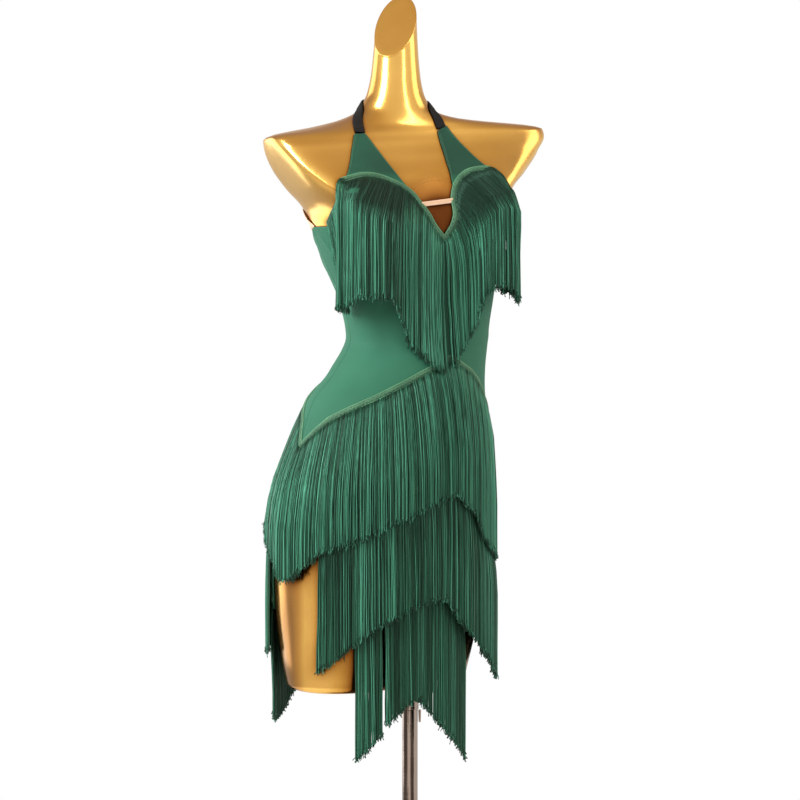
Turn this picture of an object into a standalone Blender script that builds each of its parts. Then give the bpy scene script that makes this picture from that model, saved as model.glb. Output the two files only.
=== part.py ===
"""A Latin dance dress with five rows of fringe, on a limbless dress form and its pole stand.

Metres, +Z up. The origin is the centre of the stand's underside, on the pole's axis. The dress
faces -Y, so the wearer's left is +X. An angle goes round the figure from its centre front and is
positive towards the wearer's left. Heights are above the floor.
"""

import math

import bmesh
import bpy
import numpy as np

# The general figure that the dress is cut for: one row for each level section. twist turns a
# section about +Z and roll lifts its left side, in degrees; square is the exponent of the
# superellipse; cleft is how far the section is parted into two thigh stumps.
FIGURE_COLUMNS = (
    "height", "centre_x", "centre_y", "half_width", "front", "back", "square", "twist", "roll", "cleft",
)
FIGURE = (
    (0.643, -0.0570, -0.0130, 0.137, 0.080, 0.084, 2.2, 12.0, 0.0, 0.45),
    (0.672, -0.0545, -0.0115, 0.143, 0.087, 0.096, 2.2, 12.0, 0.0, 0.35),
    (0.700, -0.0520, -0.0090, 0.149, 0.093, 0.106, 2.2, 12.0, 0.0, 0.25),
    (0.750, -0.0475, -0.0010, 0.158, 0.105, 0.120, 2.2, 12.0, 0.0, 0.10),
    (0.806, -0.0450, 0.0030, 0.163, 0.110, 0.126, 2.2, 12.0, 0.0, 0.0),
    (0.862, -0.0430, 0.0030, 0.166, 0.113, 0.122, 2.2, 12.0, 0.0, 0.0),
    (0.918, -0.0400, 0.0000, 0.162, 0.113, 0.114, 2.2, 12.0, 0.0, 0.0),
    (0.974, -0.0340, -0.0040, 0.151, 0.108, 0.100, 2.2, 10.0, 0.0, 0.0),
    (1.030, -0.0290, -0.0080, 0.134, 0.099, 0.086, 2.2, 7.0, 0.0, 0.0),
    (1.072, -0.0130, -0.0100, 0.114, 0.091, 0.078, 2.2, 6.0, 0.5, 0.0),
    (1.121, 0.0040, -0.0100, 0.102, 0.084, 0.074, 2.2, 3.0, 1.0, 0.0),
    (1.170, 0.0060, -0.0070, 0.110, 0.083, 0.078, 2.2, -2.0, 1.5, 0.0),
    (1.226, 0.0030, -0.0020, 0.127, 0.087, 0.088, 2.2, -4.0, 2.5, 0.0),
    (1.282, -0.0015, 0.0040, 0.1405, 0.088, 0.096, 2.3, -6.0, 3.5, 0.0),
    (1.310, -0.0085, 0.0100, 0.150, 0.086, 0.094, 2.5, -7.0, 4.0, 0.0),
    (1.338, -0.0090, 0.0130, 0.180, 0.080, 0.090, 2.8, -8.0, 4.0, 0.0),
    (1.366, -0.0100, 0.0140, 0.206, 0.070, 0.084, 3.0, -8.0, 4.0, 0.0),
    (1.387, -0.0060, 0.0140, 0.216, 0.060, 0.074, 3.0, -8.0, 4.0, 0.0),
    (1.401, -0.0050, 0.0150, 0.210, 0.051, 0.062, 2.8, -9.0, 4.0, 0.0),
    (1.409, -0.0070, 0.0170, 0.176, 0.048, 0.052, 2.4, -10.0, 4.0, 0.0),
    (1.417, -0.0080, 0.0180, 0.134, 0.047, 0.048, 2.1, -12.0, 3.5, 0.0),
    (1.426, -0.0100, 0.0180, 0.088, 0.047, 0.048, 2.0, -14.0, 2.5, 0.0),
    (1.434, -0.0120, 0.0180, 0.058, 0.046, 0.048, 2.0, -18.0, 1.0, 0.0),
    (1.444, -0.0130, 0.0180, 0.047, 0.044, 0.045, 2.0, -22.0, 0.0, 0.0),
    (1.458, -0.0130, 0.0180, 0.0395, 0.039, 0.040, 2.0, -25.0, 0.0, 0.0),
    (1.486, -0.0125, 0.0180, 0.034, 0.034, 0.036, 2.0, -28.0, 0.0, 0.0),
    (1.534, -0.0120, 0.0180, 0.030, 0.031, 0.032, 2.0, -30.0, 0.0, 0.0),
    (1.592, -0.0120, 0.0180, 0.028, 0.029, 0.030, 2.0, -30.0, 0.0, 0.0),
)
BUST_HEIGHT = 1.284
BUST_ANGLE = 37.0
BUST_PROUD = 0.042
BUST_SPREAD = 20.0
BUST_ABOVE = 0.062
BUST_BELOW = 0.044
BUST_SPLAY = 20.0

# The form is faceted finely in front and more plainly behind, and the cloth's columns follow it.
FRONT_ANGLES = np.arange(-82.5, 83, 7.5)
BACK_ANGLES = np.arange(97.5, 263, 15.0)
FORM_LEVELS = (
    0.655, 0.69, 0.73, 0.77, 0.81, 0.85, 0.89, 0.93, 0.965, 0.995, 1.022, 1.045, 1.066, 1.086,
    1.104, 1.122, 1.145, 1.175, 1.205, 1.238, 1.258, 1.276, 1.294, 1.312, 1.33, 1.348, 1.366,
    1.38, 1.392, 1.401, 1.408, 1.414, 1.42, 1.426, 1.433, 1.441, 1.452, 1.475,
)
FOOT_ROUNDING = 0.012
# The neck is cut along a slanting plane that faces this bearing, at this height on its axis.
NECK_CUT_CENTRE = 1.545
NECK_CUT_SLOPE = 1.45
NECK_CUT_FACING = -52.0
# Each arm is cut along a plane through a point at the shoulder and one at the armpit.
ARM_CUT_COLUMNS = ("side", "shoulder_x", "shoulder_height", "armpit_x", "armpit_height")
ARM_CUTS = (("right", -0.200, 1.394, -0.149, 1.300), ("left", 0.224, 1.405, 0.184, 1.310))
ARM_CUTTER = (0.16, 0.40, 0.24)

CLOTH_GAP = 0.0014  # from the form's skin to the cloth's inside
CLOTH = 0.0012
SEAM = 0.00015  # half of the space left between two pieces at a seam
SIDE_SEAM = 97.5

# The line of each fringe's braid. Angles are from the centre front, or for a back piece from the
# centre back and positive towards the wearer's right; drop is the strands' length.
LINE_COLUMNS = ("angle", "height", "drop")
BUST_LINE = (
    (-67.0, 1.286, 0.122), (-50.0, 1.309, 0.143), (-35.0, 1.334, 0.166), (-26.0, 1.343, 0.168),
    (-20.0, 1.344, 0.166), (-13.5, 1.332, 0.164), (-10.0, 1.316, 0.176), (-8.0, 1.298, 0.186),
    (-6.0, 1.276, 0.187), (0.0, 1.256, 0.188), (6.0, 1.276, 0.187), (8.0, 1.298, 0.186),
    (10.0, 1.316, 0.176), (13.5, 1.332, 0.164), (20.0, 1.344, 0.166), (26.0, 1.343, 0.168),
    (35.0, 1.334, 0.166), (50.0, 1.309, 0.143), (67.0, 1.286, 0.122),
)
HIP_LINE = (
    (-97.5, 0.972, 0.186), (-73.0, 1.010, 0.186), (-45.0, 1.038, 0.186), (-22.0, 1.070, 0.186),
    (0.0, 1.092, 0.186), (22.0, 1.072, 0.186), (34.0, 1.056, 0.186), (60.0, 1.010, 0.186),
    (97.5, 0.955, 0.186),
)
HIP_LINE_BACK = (
    (-82.5, 0.955, 0.186), (-76.0, 0.990, 0.186), (-50.0, 1.045, 0.186), (0.0, 1.100, 0.186),
    (50.0, 1.050, 0.186), (76.0, 1.005, 0.186), (82.5, 0.972, 0.186),
)
MID_LINE = ((-82.0, 0.826, 0.166), (-40.0, 0.890, 0.170), (0.0, 0.934, 0.170), (40.0, 0.872, 0.170),
            (82.0, 0.795, 0.188))
MID_LINE_BACK = ((-79.0, 0.815, 0.170), (0.0, 0.934, 0.170), (79.0, 0.845, 0.160))
LOW_LINE = ((-48.0, 0.722, 0.165), (-12.0, 0.806, 0.165), (28.0, 0.722, 0.194))
LOW_LINE_BACK = ((-72.0, 0.745, 0.160), (0.0, 0.815, 0.170), (72.0, 0.750, 0.160))

# The cloth pieces. The skirt is an apron in front and a tail behind, open at both sides.
UNDERARM_HEIGHT = 1.279
UNDERARM_ANGLE = 67.0
BACK_NECK = ((-82.5, 1.278), (-40.0, 1.222), (0.0, 1.190), (40.0, 1.222), (82.5, 1.278))
APRON_EDGE = 84.0
APRON_HEM = (
    (-84.0, 0.812), (-52.5, 0.812), (-50.0, 0.714), (-12.0, 0.795), (30.0, 0.714), (32.5, 0.800),
    (84.0, 0.780),
)
TAIL_EDGE = 79.0
TAIL_HEM = ((-79.0, 0.795), (-72.0, 0.735), (0.0, 0.805), (72.0, 0.740), (79.0, 0.820))
HALTER_FOOT = (9.0, 11.25, 15.0, 22.5, 30.0, 35.0)
HALTER_CORNERS = ((-25.0, -20.0), (11.0, 16.0))
HALTER_TOP = 1.400
HALTER_RISE = 0.0002  # how far a halter stands out from the bodice's own surface
STRAP_COLUMNS = ("angle", "height")
STRAP = (
    (-22.5, 1.4035), (-30, 1.413), (-40, 1.420), (-55, 1.430), (-73, 1.439), (-95, 1.446), (-120, 1.452),
    (-150, 1.456), (-180, 1.457), (-210, 1.456), (-240, 1.452), (-265, 1.446), (-287, 1.441),
    (-305, 1.437), (-325, 1.430), (-338, 1.420), (-346.5, 1.4035),
)
STRAP_WIDE = 0.014
STRAP_GAP = 0.0026
ELASTIC = 0.0012
BACK_BAND_ANGLE = 83.5
BACK_BAND_MIDDLE = 1.319
BACK_BAND_FALL = 0.0325
BACK_BAND_WIDE = 0.012
BRIDGE_ANGLE = 6.6
BRIDGE_HEIGHT = 1.299
BRIDGE_TALL = 0.006
BRIDGE_THICK = 0.0010

BRAID = 0.0075
BRAID_THICK = 0.0012
BRAID_GAP = 0.0009
LOCK_THICK = 0.0020
LOCK_SHARE = 0.84  # of each lock's pitch, so that the locks stand apart
LOCK_BEND = 0.0005  # how far a lock's straight lengths may lie from its true curve
# Each row of fringe: the span of its braid, how far its locks hang out from the figure at the
# braid and below it, and over what drop that changes. Every lower row hangs inside the one above.
FRINGE_COLUMNS = ("name", "first", "last", "line", "back", "locks", "out_high", "out_low", "ramp")
FRINGES = (
    ("bust_fringe", -66.0, 66.0, BUST_LINE, False, 38, 0.0058, 0.0078, 0.15),
    ("hip_fringe_front", -96.0, 96.0, HIP_LINE, False, 38, 0.0038, 0.0102, 0.12),
    ("hip_fringe_back", -81.0, 81.0, HIP_LINE_BACK, True, 30, 0.0038, 0.0102, 0.12),
    ("mid_fringe_front", -82.0, 80.0, MID_LINE, False, 32, 0.0038, 0.0070, 0.10),
    ("mid_fringe_back", -78.0, 78.0, MID_LINE_BACK, True, 26, 0.0038, 0.0070, 0.10),
    ("low_fringe_right", -47.0, -33.0, LOW_LINE, False, 3, 0.0038, 0.0038, 0.10),
    ("low_fringe_left", -31.5, 27.0, LOW_LINE, False, 12, 0.0038, 0.0038, 0.10),
    ("low_fringe_back", -70.0, 70.0, LOW_LINE_BACK, True, 20, 0.0038, 0.0038, 0.10),
)

# The stand: a tube with a thinner rod in it, a collar and clamp screw, a socket, a hub and a base.
POLE_RADIUS = 0.011
ROD_RADIUS = 0.0092
SOCKET_RADIUS = 0.020
SOCKET_TALL = 0.0032
COLLAR_RADIUS = 0.0125
COLLAR_BOTTOM = 0.594
COLLAR_TALL = 0.020
BASE_RADIUS = 0.200
BASE_THICK = 0.008
BASE_BEVEL = 0.002
HUB_RADIUS = 0.022
HUB_TALL = 0.030
CLAMP_BEARING = -32.0
CLAMP_SIZE = (0.0035, 0.0035, 0.018)
CLAMP_DROP = 0.010  # of its middle below the collar's underside
CLAMP_REACH = POLE_RADIUS + 0.0028
CLEAR = 0.0003
ROUND_SIDES = 24


def monotone(xs, ys, x):
    """A smooth curve through (xs, ys) that doesn't overshoot, read at x."""
    xs, ys = np.asarray(xs, float), np.asarray(ys, float)
    steps = np.diff(xs)
    slopes = np.diff(ys) / steps
    inner = np.zeros(len(xs) - 2)
    same_way = slopes[:-1] * slopes[1:] > 0
    inner[same_way] = (2 * slopes[:-1] * slopes[1:])[same_way] / (slopes[:-1] + slopes[1:])[same_way]
    tangents = np.concatenate([slopes[:1], inner, slopes[-1:]])
    x = np.clip(x, xs[0], xs[-1])
    i = np.clip(np.searchsorted(xs, x, side="right") - 1, 0, len(xs) - 2)
    h = steps[i]
    u = (x - xs[i]) / h
    return (
        ys[i] * (1 + 2 * u) * (1 - u) ** 2
        + h * tangents[i] * u * (1 - u) ** 2
        + ys[i + 1] * u * u * (3 - 2 * u)
        + h * tangents[i + 1] * u * u * (u - 1)
    )


FIGURE_TABLE = np.array(FIGURE)


def figure_at(column, height):
    """A column of FIGURE between its rows."""
    return monotone(FIGURE_TABLE[:, 0], FIGURE_TABLE[:, FIGURE_COLUMNS.index(column)], height)


def skin(angle, height, cleft=False):
    """Points of the figure's skin; angle and height may be arrays."""
    angle, height = np.broadcast_arrays(np.asarray(angle, float), np.asarray(height, float))
    side, ahead = np.sin(np.radians(angle)), np.cos(np.radians(angle))
    power = figure_at("square", height)
    stretch = (np.abs(side) ** power + np.abs(ahead) ** power) ** (-1 / power)
    width = figure_at("half_width", height)
    x = width * side * stretch
    depth = np.where(ahead > 0, figure_at("front", height), figure_at("back", height))
    y = -depth * ahead * stretch
    if cleft:
        lobe = np.sqrt(np.clip(1 - (2 * np.abs(x) / width - 1) ** 2, 0, None))
        share = figure_at("cleft", height)
        y = y * (1 - share) - 0.88 * depth * np.sign(ahead) * lobe * share
    for way in (-1, 1):
        turn = (angle - way * BUST_ANGLE + 180) % 360 - 180
        rise = height - BUST_HEIGHT
        reach = np.where(rise > 0, BUST_ABOVE, BUST_BELOW)
        proud = BUST_PROUD * np.exp(-((turn / BUST_SPREAD) ** 2) - (rise / reach) ** 2)
        x = x + way * proud * math.sin(math.radians(BUST_SPLAY))
        y = y - proud * math.cos(math.radians(BUST_SPLAY))
    twist = np.radians(figure_at("twist", height))
    lift = np.tan(np.radians(figure_at("roll", height)))
    return np.stack(
        [
            figure_at("centre_x", height) + x * np.cos(twist) - y * np.sin(twist),
            figure_at("centre_y", height) + x * np.sin(twist) + y * np.cos(twist),
            height + x * lift,
        ],
        axis=-1,
    )


def along(angle, height):
    """How far the skin's point moves for a degree of angle, and for a metre of height."""
    turn, rise = 0.6, 0.002
    around = (skin(angle + turn, height) - skin(angle - turn, height)) / (2 * turn)
    up = (skin(angle, height + rise) - skin(angle, height - rise)) / (2 * rise)
    return around, up


def facet(angle, height):
    """The point of the form's facets at an angle and a height."""
    columns = np.array([*FRONT_ANGLES, *BACK_ANGLES, FRONT_ANGLES[0] + 360])
    levels = np.array([FIGURE[0][0], *FORM_LEVELS, FIGURE[-1][0]])
    angle = (angle - columns[0]) % 360 + columns[0]
    i = np.clip(np.searchsorted(columns, angle, side="right") - 1, 0, len(columns) - 2)
    j = np.clip(np.searchsorted(levels, height, side="right") - 1, 0, len(levels) - 2)
    u = ((angle - columns[i]) / (columns[i + 1] - columns[i]))[..., None]
    v = ((height - levels[j]) / (levels[j + 1] - levels[j]))[..., None]
    low = skin(columns[i], levels[j]) * (1 - u) + skin(columns[i + 1], levels[j]) * u
    high = skin(columns[i], levels[j + 1]) * (1 - u) + skin(columns[i + 1], levels[j + 1]) * u
    return low * (1 - v) + high * v


def figure(angle, height, out):
    """Points at a distance out from the figure's skin, or from the form's facet if that is further out."""
    angle, height = np.broadcast_arrays(np.asarray(angle, float), np.asarray(height, float))
    normal = np.cross(*along(angle, height))
    normal = normal / np.linalg.norm(normal, axis=-1, keepdims=True)
    here = skin(angle, height)
    proud = np.clip(((facet(angle, height) - here) * normal).sum(axis=-1), 0, None)
    return here + normal * (np.asarray(out) + proud)[..., None]


def line(table, angle, column=1):
    """A column of a table's line at an angle."""
    rows = np.array(table)
    return np.interp(angle, rows[:, 0], rows[:, column])


def angle_at(x, height):
    """The angle, in front, of the skin's point at an x and a height."""
    angles = np.arange(-90, 91, 1.0)
    found = [np.interp(a, skin(angles, b)[:, 0], angles) for a, b in zip(x.flat, height.flat)]
    return np.array(found).reshape(x.shape)


def solid(name, points, faces, material, sharp=40.0):
    """One object from points and faces, its normals facing out."""
    mesh = bpy.data.meshes.new(name)
    mesh.from_pydata([tuple(p) for p in points], [], faces)
    made = bmesh.new()
    made.from_mesh(mesh)
    bmesh.ops.recalc_face_normals(made, faces=made.faces)
    made.to_mesh(mesh)
    made.free()
    mesh.shade_smooth()
    mesh.set_sharp_from_angle(angle=math.radians(sharp))
    mesh.materials.append(material)
    obj = bpy.data.objects.new(name, mesh)
    bpy.context.scene.collection.objects.link(obj)
    return obj


def loft(name, rings, material):
    """A closed body through rings of equal length, with a face over each end."""
    count = len(rings[0])
    faces = [list(range(count))]
    for i in range(len(rings) - 1):
        for j in range(count):
            k = (j + 1) % count
            faces.append((i * count + j, i * count + k, (i + 1) * count + k, (i + 1) * count + j))
    faces.append([(len(rings) - 1) * count + j for j in range(count)])
    return solid(name, np.concatenate(rings), faces, material)


def sheet(name, inner, outer, material):
    """A wall between two grids of points, closed round its edge. Equal neighbours are one point."""
    rows, columns = inner.shape[:2]
    index = np.arange(rows * columns).reshape(rows, columns)
    for i in range(1, rows):
        same = np.linalg.norm(inner[i] - inner[i - 1], axis=-1) < 1e-6
        index[i, same] = index[i - 1, same]
    near = []
    for i in range(rows - 1):
        for j in range(columns - 1):
            corners = (index[i, j], index[i, j + 1], index[i + 1, j + 1], index[i + 1, j])
            corners = list(dict.fromkeys(int(c) for c in corners))
            if len(corners) > 2:
                near.append(corners)
    used = sorted({c for face in near for c in face})
    place = {c: k for k, c in enumerate(used)}
    size = len(used)
    sides = {}
    for face in near:
        for a, b in zip(face, face[1:] + face[:1]):
            sides[(a, b)] = True
    faces = [[place[c] for c in face] for face in near]
    faces += [[size + place[c] for c in reversed(face)] for face in near]
    faces += [
        (place[b], place[a], size + place[a], size + place[b]) for a, b in sides if (b, a) not in sides
    ]
    points = np.concatenate([inner.reshape(-1, 3)[used], outer.reshape(-1, 3)[used]])
    return solid(name, points, faces, material)


def panel(name, angles, low, high, material):
    """A piece of cloth over the figure between two lines of heights, one height for each angle.
    Its rows are at the form's own levels."""
    levels = np.array([-1.0, *FORM_LEVELS, 9.0])[:, None]
    heights = np.clip(levels, low, high)
    for edge in (low, high):
        heights = np.where(np.abs(heights - edge) < 0.003, edge, heights)
    angles = np.broadcast_to(angles, heights.shape)
    inner = figure(angles, heights, np.full(heights.shape, CLOTH_GAP))
    outer = figure(angles, heights, np.full(heights.shape, CLOTH_GAP + CLOTH))
    return sheet(name, inner, outer, material)


def edges(angles, heights, width):
    """The two edges of a tape laid on the figure along a line."""
    around, up = along(angles, heights)
    steps = np.gradient(skin(angles, heights), axis=0)
    normal = np.cross(around, up)
    across = np.cross(normal, steps)
    across = across / np.linalg.norm(across, axis=-1, keepdims=True) * width / 2
    found = []
    for here in range(len(angles)):
        moved = np.linalg.lstsq(np.stack([around[here], up[here]], axis=1), across[here], rcond=None)[0]
        found.append(moved)
    moved = np.array(found)
    return (angles + moved[:, 0], heights + moved[:, 1]), (angles - moved[:, 0], heights - moved[:, 1])


def tape(name, angles, heights, width, gap, thick, material):
    """A flat band laid on the figure along a line."""
    above, below = edges(angles, heights, width)
    grid = np.array([below[0], angles, above[0]]), np.array([below[1], heights, above[1]])
    inner = figure(*grid, np.full(grid[0].shape, gap))
    outer = figure(*grid, np.full(grid[0].shape, gap + thick))
    return sheet(name, inner, outer, material)


class Fall:
    """How fringe hangs: each strand keeps its direction from an upright axis, is held out by the
    widest part of the figure that it has passed, and below that hangs plumb."""

    def __init__(self, axis, low, high):
        self.axis = np.array(axis)
        self.levels = np.arange(low, high, 0.006)
        self.bearings = np.arange(-180, 181, 2.0)
        angles = np.arange(-180, 180, 2.0)
        heights = np.arange(low - 0.02, high + 0.03, 0.006)
        grid = skin(*np.meshgrid(angles, heights, indexing="ij"))
        self.reach = np.empty((len(self.levels), len(self.bearings)))
        for i, level in enumerate(self.levels):
            ring = np.array(
                [[np.interp(level, column[:, 2], column[:, k]) for k in (0, 1)] for column in grid]
            )
            ring -= self.axis
            bearing = np.degrees(np.arctan2(ring[:, 0], -ring[:, 1]))
            order = np.argsort(bearing)
            self.reach[i] = np.interp(
                self.bearings, bearing[order], np.hypot(*ring.T)[order], period=360
            )

    def points(self, roots, level, out, hold):
        """Where strands from these roots are at a level; hold is the share of the bulge that they keep."""
        offset = roots[:, :2] - self.axis
        bearing = np.degrees(np.arctan2(offset[:, 0], -offset[:, 1]))
        found = np.empty((len(roots), 3))
        for j, (here, root) in enumerate(zip(bearing, roots)):
            column = np.array([np.interp(here, self.bearings, row) for row in self.reach])
            passed = (self.levels <= root[2]) & (self.levels >= level)
            at_level = np.interp(level, self.levels, column)
            widest = max(column[passed].max(initial=0), at_level)
            radius = at_level + (widest - at_level) * hold + out
            turn = math.radians(here)
            found[j] = (
                self.axis[0] + radius * math.sin(turn), self.axis[1] - radius * math.cos(turn), level,
            )
        return found


def fringe(name, span, table, back, locks, fall, out, ramp, material, hold=None):
    """A braid laid along a line on the cloth, with locks of strands hanging from its lower edge."""
    pitch = (span[1] - span[0]) / locks
    starts = span[0] + pitch * (np.arange(locks) + (1 - LOCK_SHARE) / 2)
    at = np.stack([starts, starts + pitch * LOCK_SHARE], axis=1).reshape(-1)
    count = len(at)
    angles = at + 180 if back else at
    above, below = edges(angles, line(table, at), BRAID)
    if above[1].mean() < below[1].mean():
        above, below = below, above
    gap = CLOTH_GAP + CLOTH + BRAID_GAP
    points = [
        figure(*edge, np.full(count, gap + lift))
        for edge, lift in ((above, BRAID_THICK), (above, 0), (below, 0), (below, BRAID_THICK))
    ]
    last = count - 1
    faces = [(0, count, 2 * count, 3 * count), (last, 3 * count + last, 2 * count + last, count + last)]
    for j in range(last):
        for k in range(4):
            if k == 2 and j % 2 == 0:
                continue
            m = (k + 1) % 4
            faces.append((k * count + j, k * count + j + 1, m * count + j + 1, m * count + j))
    total = 4 * count
    for j in range(0, count, 2):
        root = points[2][[j, j + 1]]
        held = 1.0 if hold is None else hold(abs(at[j]))
        tip = line(table, at[j], 1) - line(table, at[j], 2)
        start = root[:, 2].min() - 0.003
        levels = start + (tip - start) * np.linspace(0, 1, 20) ** 1.3
        lifts = out[0] + (out[1] - out[0]) * np.clip((start - levels) / ramp, 0, 1)
        near, far = (
            np.array([fall.points(root, level, lift + thick, held) for level, lift in zip(levels, lifts)])
            for thick in (0.0, LOCK_THICK)
        )
        kept = straight_runs(np.concatenate([root.mean(axis=0)[None], near.mean(axis=1)]), LOCK_BEND)
        ring = [2 * count + j, 2 * count + j + 1, 3 * count + j + 1, 3 * count + j]
        for k in kept:
            points.append(np.array([near[k - 1, 0], near[k - 1, 1], far[k - 1, 1], far[k - 1, 0]]))
            new = [total, total + 1, total + 2, total + 3]
            total += 4
            faces += [(ring[n], ring[(n + 1) % 4], new[(n + 1) % 4], new[n]) for n in range(4)]
            ring = new
        faces.append(ring)
    return solid(name, np.concatenate(points), faces, material, 50.0)


def straight_runs(path, bend):
    """The fewest points of a path, after its first, that keep it within a distance of all of them."""
    kept = []
    start = 0
    while start < len(path) - 1:
        end = start + 1
        while end < len(path) - 1:
            between = path[start + 1:end + 1] - path[start]
            run = path[end + 1] - path[start]
            share = between @ run / (run @ run)
            if np.linalg.norm(between - share[:, None] * run, axis=1).max() > bend:
                break
            end += 1
        kept.append(end)
        start = end
    return kept


def turned(name, profile, sides, material, start=0.0):
    """A body of revolution about the pole's axis, through (radius, height) pairs."""
    angles = np.radians(np.arange(sides) * 360 / sides + start)
    rings = [
        np.stack([radius * np.cos(angles), radius * np.sin(angles), np.full(sides, height)], axis=1)
        for radius, height in profile
    ]
    return loft(name, rings, material)


def pipe(name, inner, outer, low, high, sides, material):
    """A ring with a hole along the pole's axis."""
    angles = np.radians(np.arange(sides) * 360 / sides)
    loop = ((inner, low), (outer, low), (outer, high), (inner, high))
    points = [
        (radius * math.cos(a), radius * math.sin(a), height) for radius, height in loop for a in angles
    ]
    faces = []
    for k in range(4):
        m = (k + 1) % 4
        for j in range(sides):
            n = (j + 1) % sides
            faces.append((k * sides + j, k * sides + n, m * sides + n, m * sides + j))
    return solid(name, points, faces, material)


def box(name, centre, size, turn, material):
    """A block turned about +Y."""
    square = ((-0.5, -0.5), (0.5, -0.5), (0.5, 0.5), (-0.5, 0.5))
    corners = np.array([(x, y, z) for z in (-0.5, 0.5) for x, y in square]) * size
    c, s = math.cos(turn), math.sin(turn)
    corners = np.stack(
        [corners[:, 0] * c + corners[:, 2] * s, corners[:, 1], corners[:, 2] * c - corners[:, 0] * s], axis=1
    )
    faces = [(0, 3, 2, 1), (4, 5, 6, 7)]
    faces += [(k, (k + 1) % 4, (k + 1) % 4 + 4, k + 4) for k in range(4)]
    return solid(name, corners + np.array(centre), faces, material)


def paint(name, colour, roughness, metallic=0.0):
    """A Principled BSDF material."""
    material = bpy.data.materials.new(name)
    material.use_nodes = True
    shader = material.node_tree.nodes["Principled BSDF"]
    shader.inputs["Base Color"].default_value = (*colour, 1.0)
    shader.inputs["Roughness"].default_value = roughness
    shader.inputs["Metallic"].default_value = metallic
    return material


def form_rings():
    """The dress form's sections, from its rounded foot to the slanting cut of its neck."""
    angles = np.concatenate([FRONT_ANGLES, BACK_ANGLES])
    foot = skin(angles, FIGURE[0][0], cleft=True)
    inward = foot.mean(axis=0) - foot
    inward /= np.linalg.norm(inward, axis=1, keepdims=True)
    rings = []
    for inset, rise in ((1.0, 0.0), (0.3, 0.15)):
        ring = foot + inward * FOOT_ROUNDING * inset
        ring[:, 2] += FOOT_ROUNDING * rise
        rings.append(ring)
    rings += [skin(angles, level, cleft=True) for level in FORM_LEVELS]
    facing = math.radians(NECK_CUT_FACING)
    for share in (0.5, 1.0):
        ring = skin(angles, FORM_LEVELS[-1] + (FIGURE[-1][0] - FORM_LEVELS[-1]) * share)
        middle = ring.mean(axis=0)
        ahead = (ring[:, 0] - middle[0]) * math.sin(facing) - (ring[:, 1] - middle[1]) * math.cos(facing)
        cut = NECK_CUT_CENTRE - NECK_CUT_SLOPE * ahead
        ring[:, 2] = FORM_LEVELS[-1] + (cut - FORM_LEVELS[-1]) * share
        rings.append(ring)
    return rings


def cut_arms(form, material):
    """Slices the end off each shoulder along a slanting plane."""
    for side, shoulder_x, shoulder_height, armpit_x, armpit_height in ARM_CUTS:
        lean = math.atan2(shoulder_x - armpit_x, shoulder_height - armpit_height)
        outward = math.copysign(ARM_CUTTER[0] / 2, shoulder_x)
        centre = (
            (shoulder_x + armpit_x) / 2 + outward * math.cos(lean),
            0.0,
            (shoulder_height + armpit_height) / 2 - outward * math.sin(lean),
        )
        cutter = box(f"arm_cutter_{side}", centre, ARM_CUTTER, lean, material)
        cutter.hide_render = True
        cutter.display_type = "WIRE"
        cut = form.modifiers.new("arm", "BOOLEAN")
        cut.operation = "DIFFERENCE"
        cut.solver = "EXACT"
        cut.object = cutter


def make_stand(steel, dark):
    """The pole with its fittings, and the round base."""
    foot = FIGURE[0][0]
    socket_foot = foot - SOCKET_TALL - CLEAR
    rod_foot = COLLAR_BOTTOM - CLEAR
    turned(
        "form_socket", ((SOCKET_RADIUS, socket_foot), (SOCKET_RADIUS, foot - CLEAR)), ROUND_SIDES, steel,
    )
    turned(
        "pole",
        (
            (POLE_RADIUS, BASE_THICK + CLEAR), (POLE_RADIUS, rod_foot),
            (ROD_RADIUS, rod_foot), (ROD_RADIUS, socket_foot - CLEAR),
        ),
        ROUND_SIDES, steel,
    )
    collar_top = COLLAR_BOTTOM + COLLAR_TALL
    pipe("collar", ROD_RADIUS + CLEAR, COLLAR_RADIUS, COLLAR_BOTTOM, collar_top, ROUND_SIDES, steel)
    turned(
        "base_plate",
        (
            (BASE_RADIUS, 0.0), (BASE_RADIUS, BASE_THICK - BASE_BEVEL),
            (BASE_RADIUS - BASE_BEVEL, BASE_THICK),
        ),
        2 * ROUND_SIDES, dark,
    )
    hub_foot, hub_top = BASE_THICK + CLEAR, BASE_THICK + HUB_TALL
    pipe("base_hub", POLE_RADIUS + CLEAR, HUB_RADIUS, hub_foot, hub_top, ROUND_SIDES, dark)
    lever = math.radians(CLAMP_BEARING)
    centre = (CLAMP_REACH * math.cos(lever), CLAMP_REACH * math.sin(lever), COLLAR_BOTTOM - CLAMP_DROP)
    box("clamp_screw", centre, CLAMP_SIZE, 0.0, steel)


def make_bodice(green):
    """The front and the back of the bodice, from the neckline to the hip seam."""
    edge = SIDE_SEAM - 0.08
    at_braid = [-67, -35, -11.25, -9, -6, -3.75, 3.75, 6, 9, 11.25, 35, 67]
    front = np.sort(np.concatenate([[-edge, edge], FRONT_ANGLES, at_braid]))
    top = np.where(np.abs(front) > UNDERARM_ANGLE, UNDERARM_HEIGHT, line(BUST_LINE, front))
    panel("front_bodice", front, line(HIP_LINE, front) + SEAM, top - SEAM, green)
    seam = 2 * SIDE_SEAM - edge
    back = np.sort(np.concatenate([[seam, 360 - seam, 104.0, 180.0, 256.0], BACK_ANGLES[1:-1]]))
    bottom = line(HIP_LINE_BACK, back - 180) + SEAM
    panel("back_bodice", back, bottom, line(BACK_NECK, back - 180), green)


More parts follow.
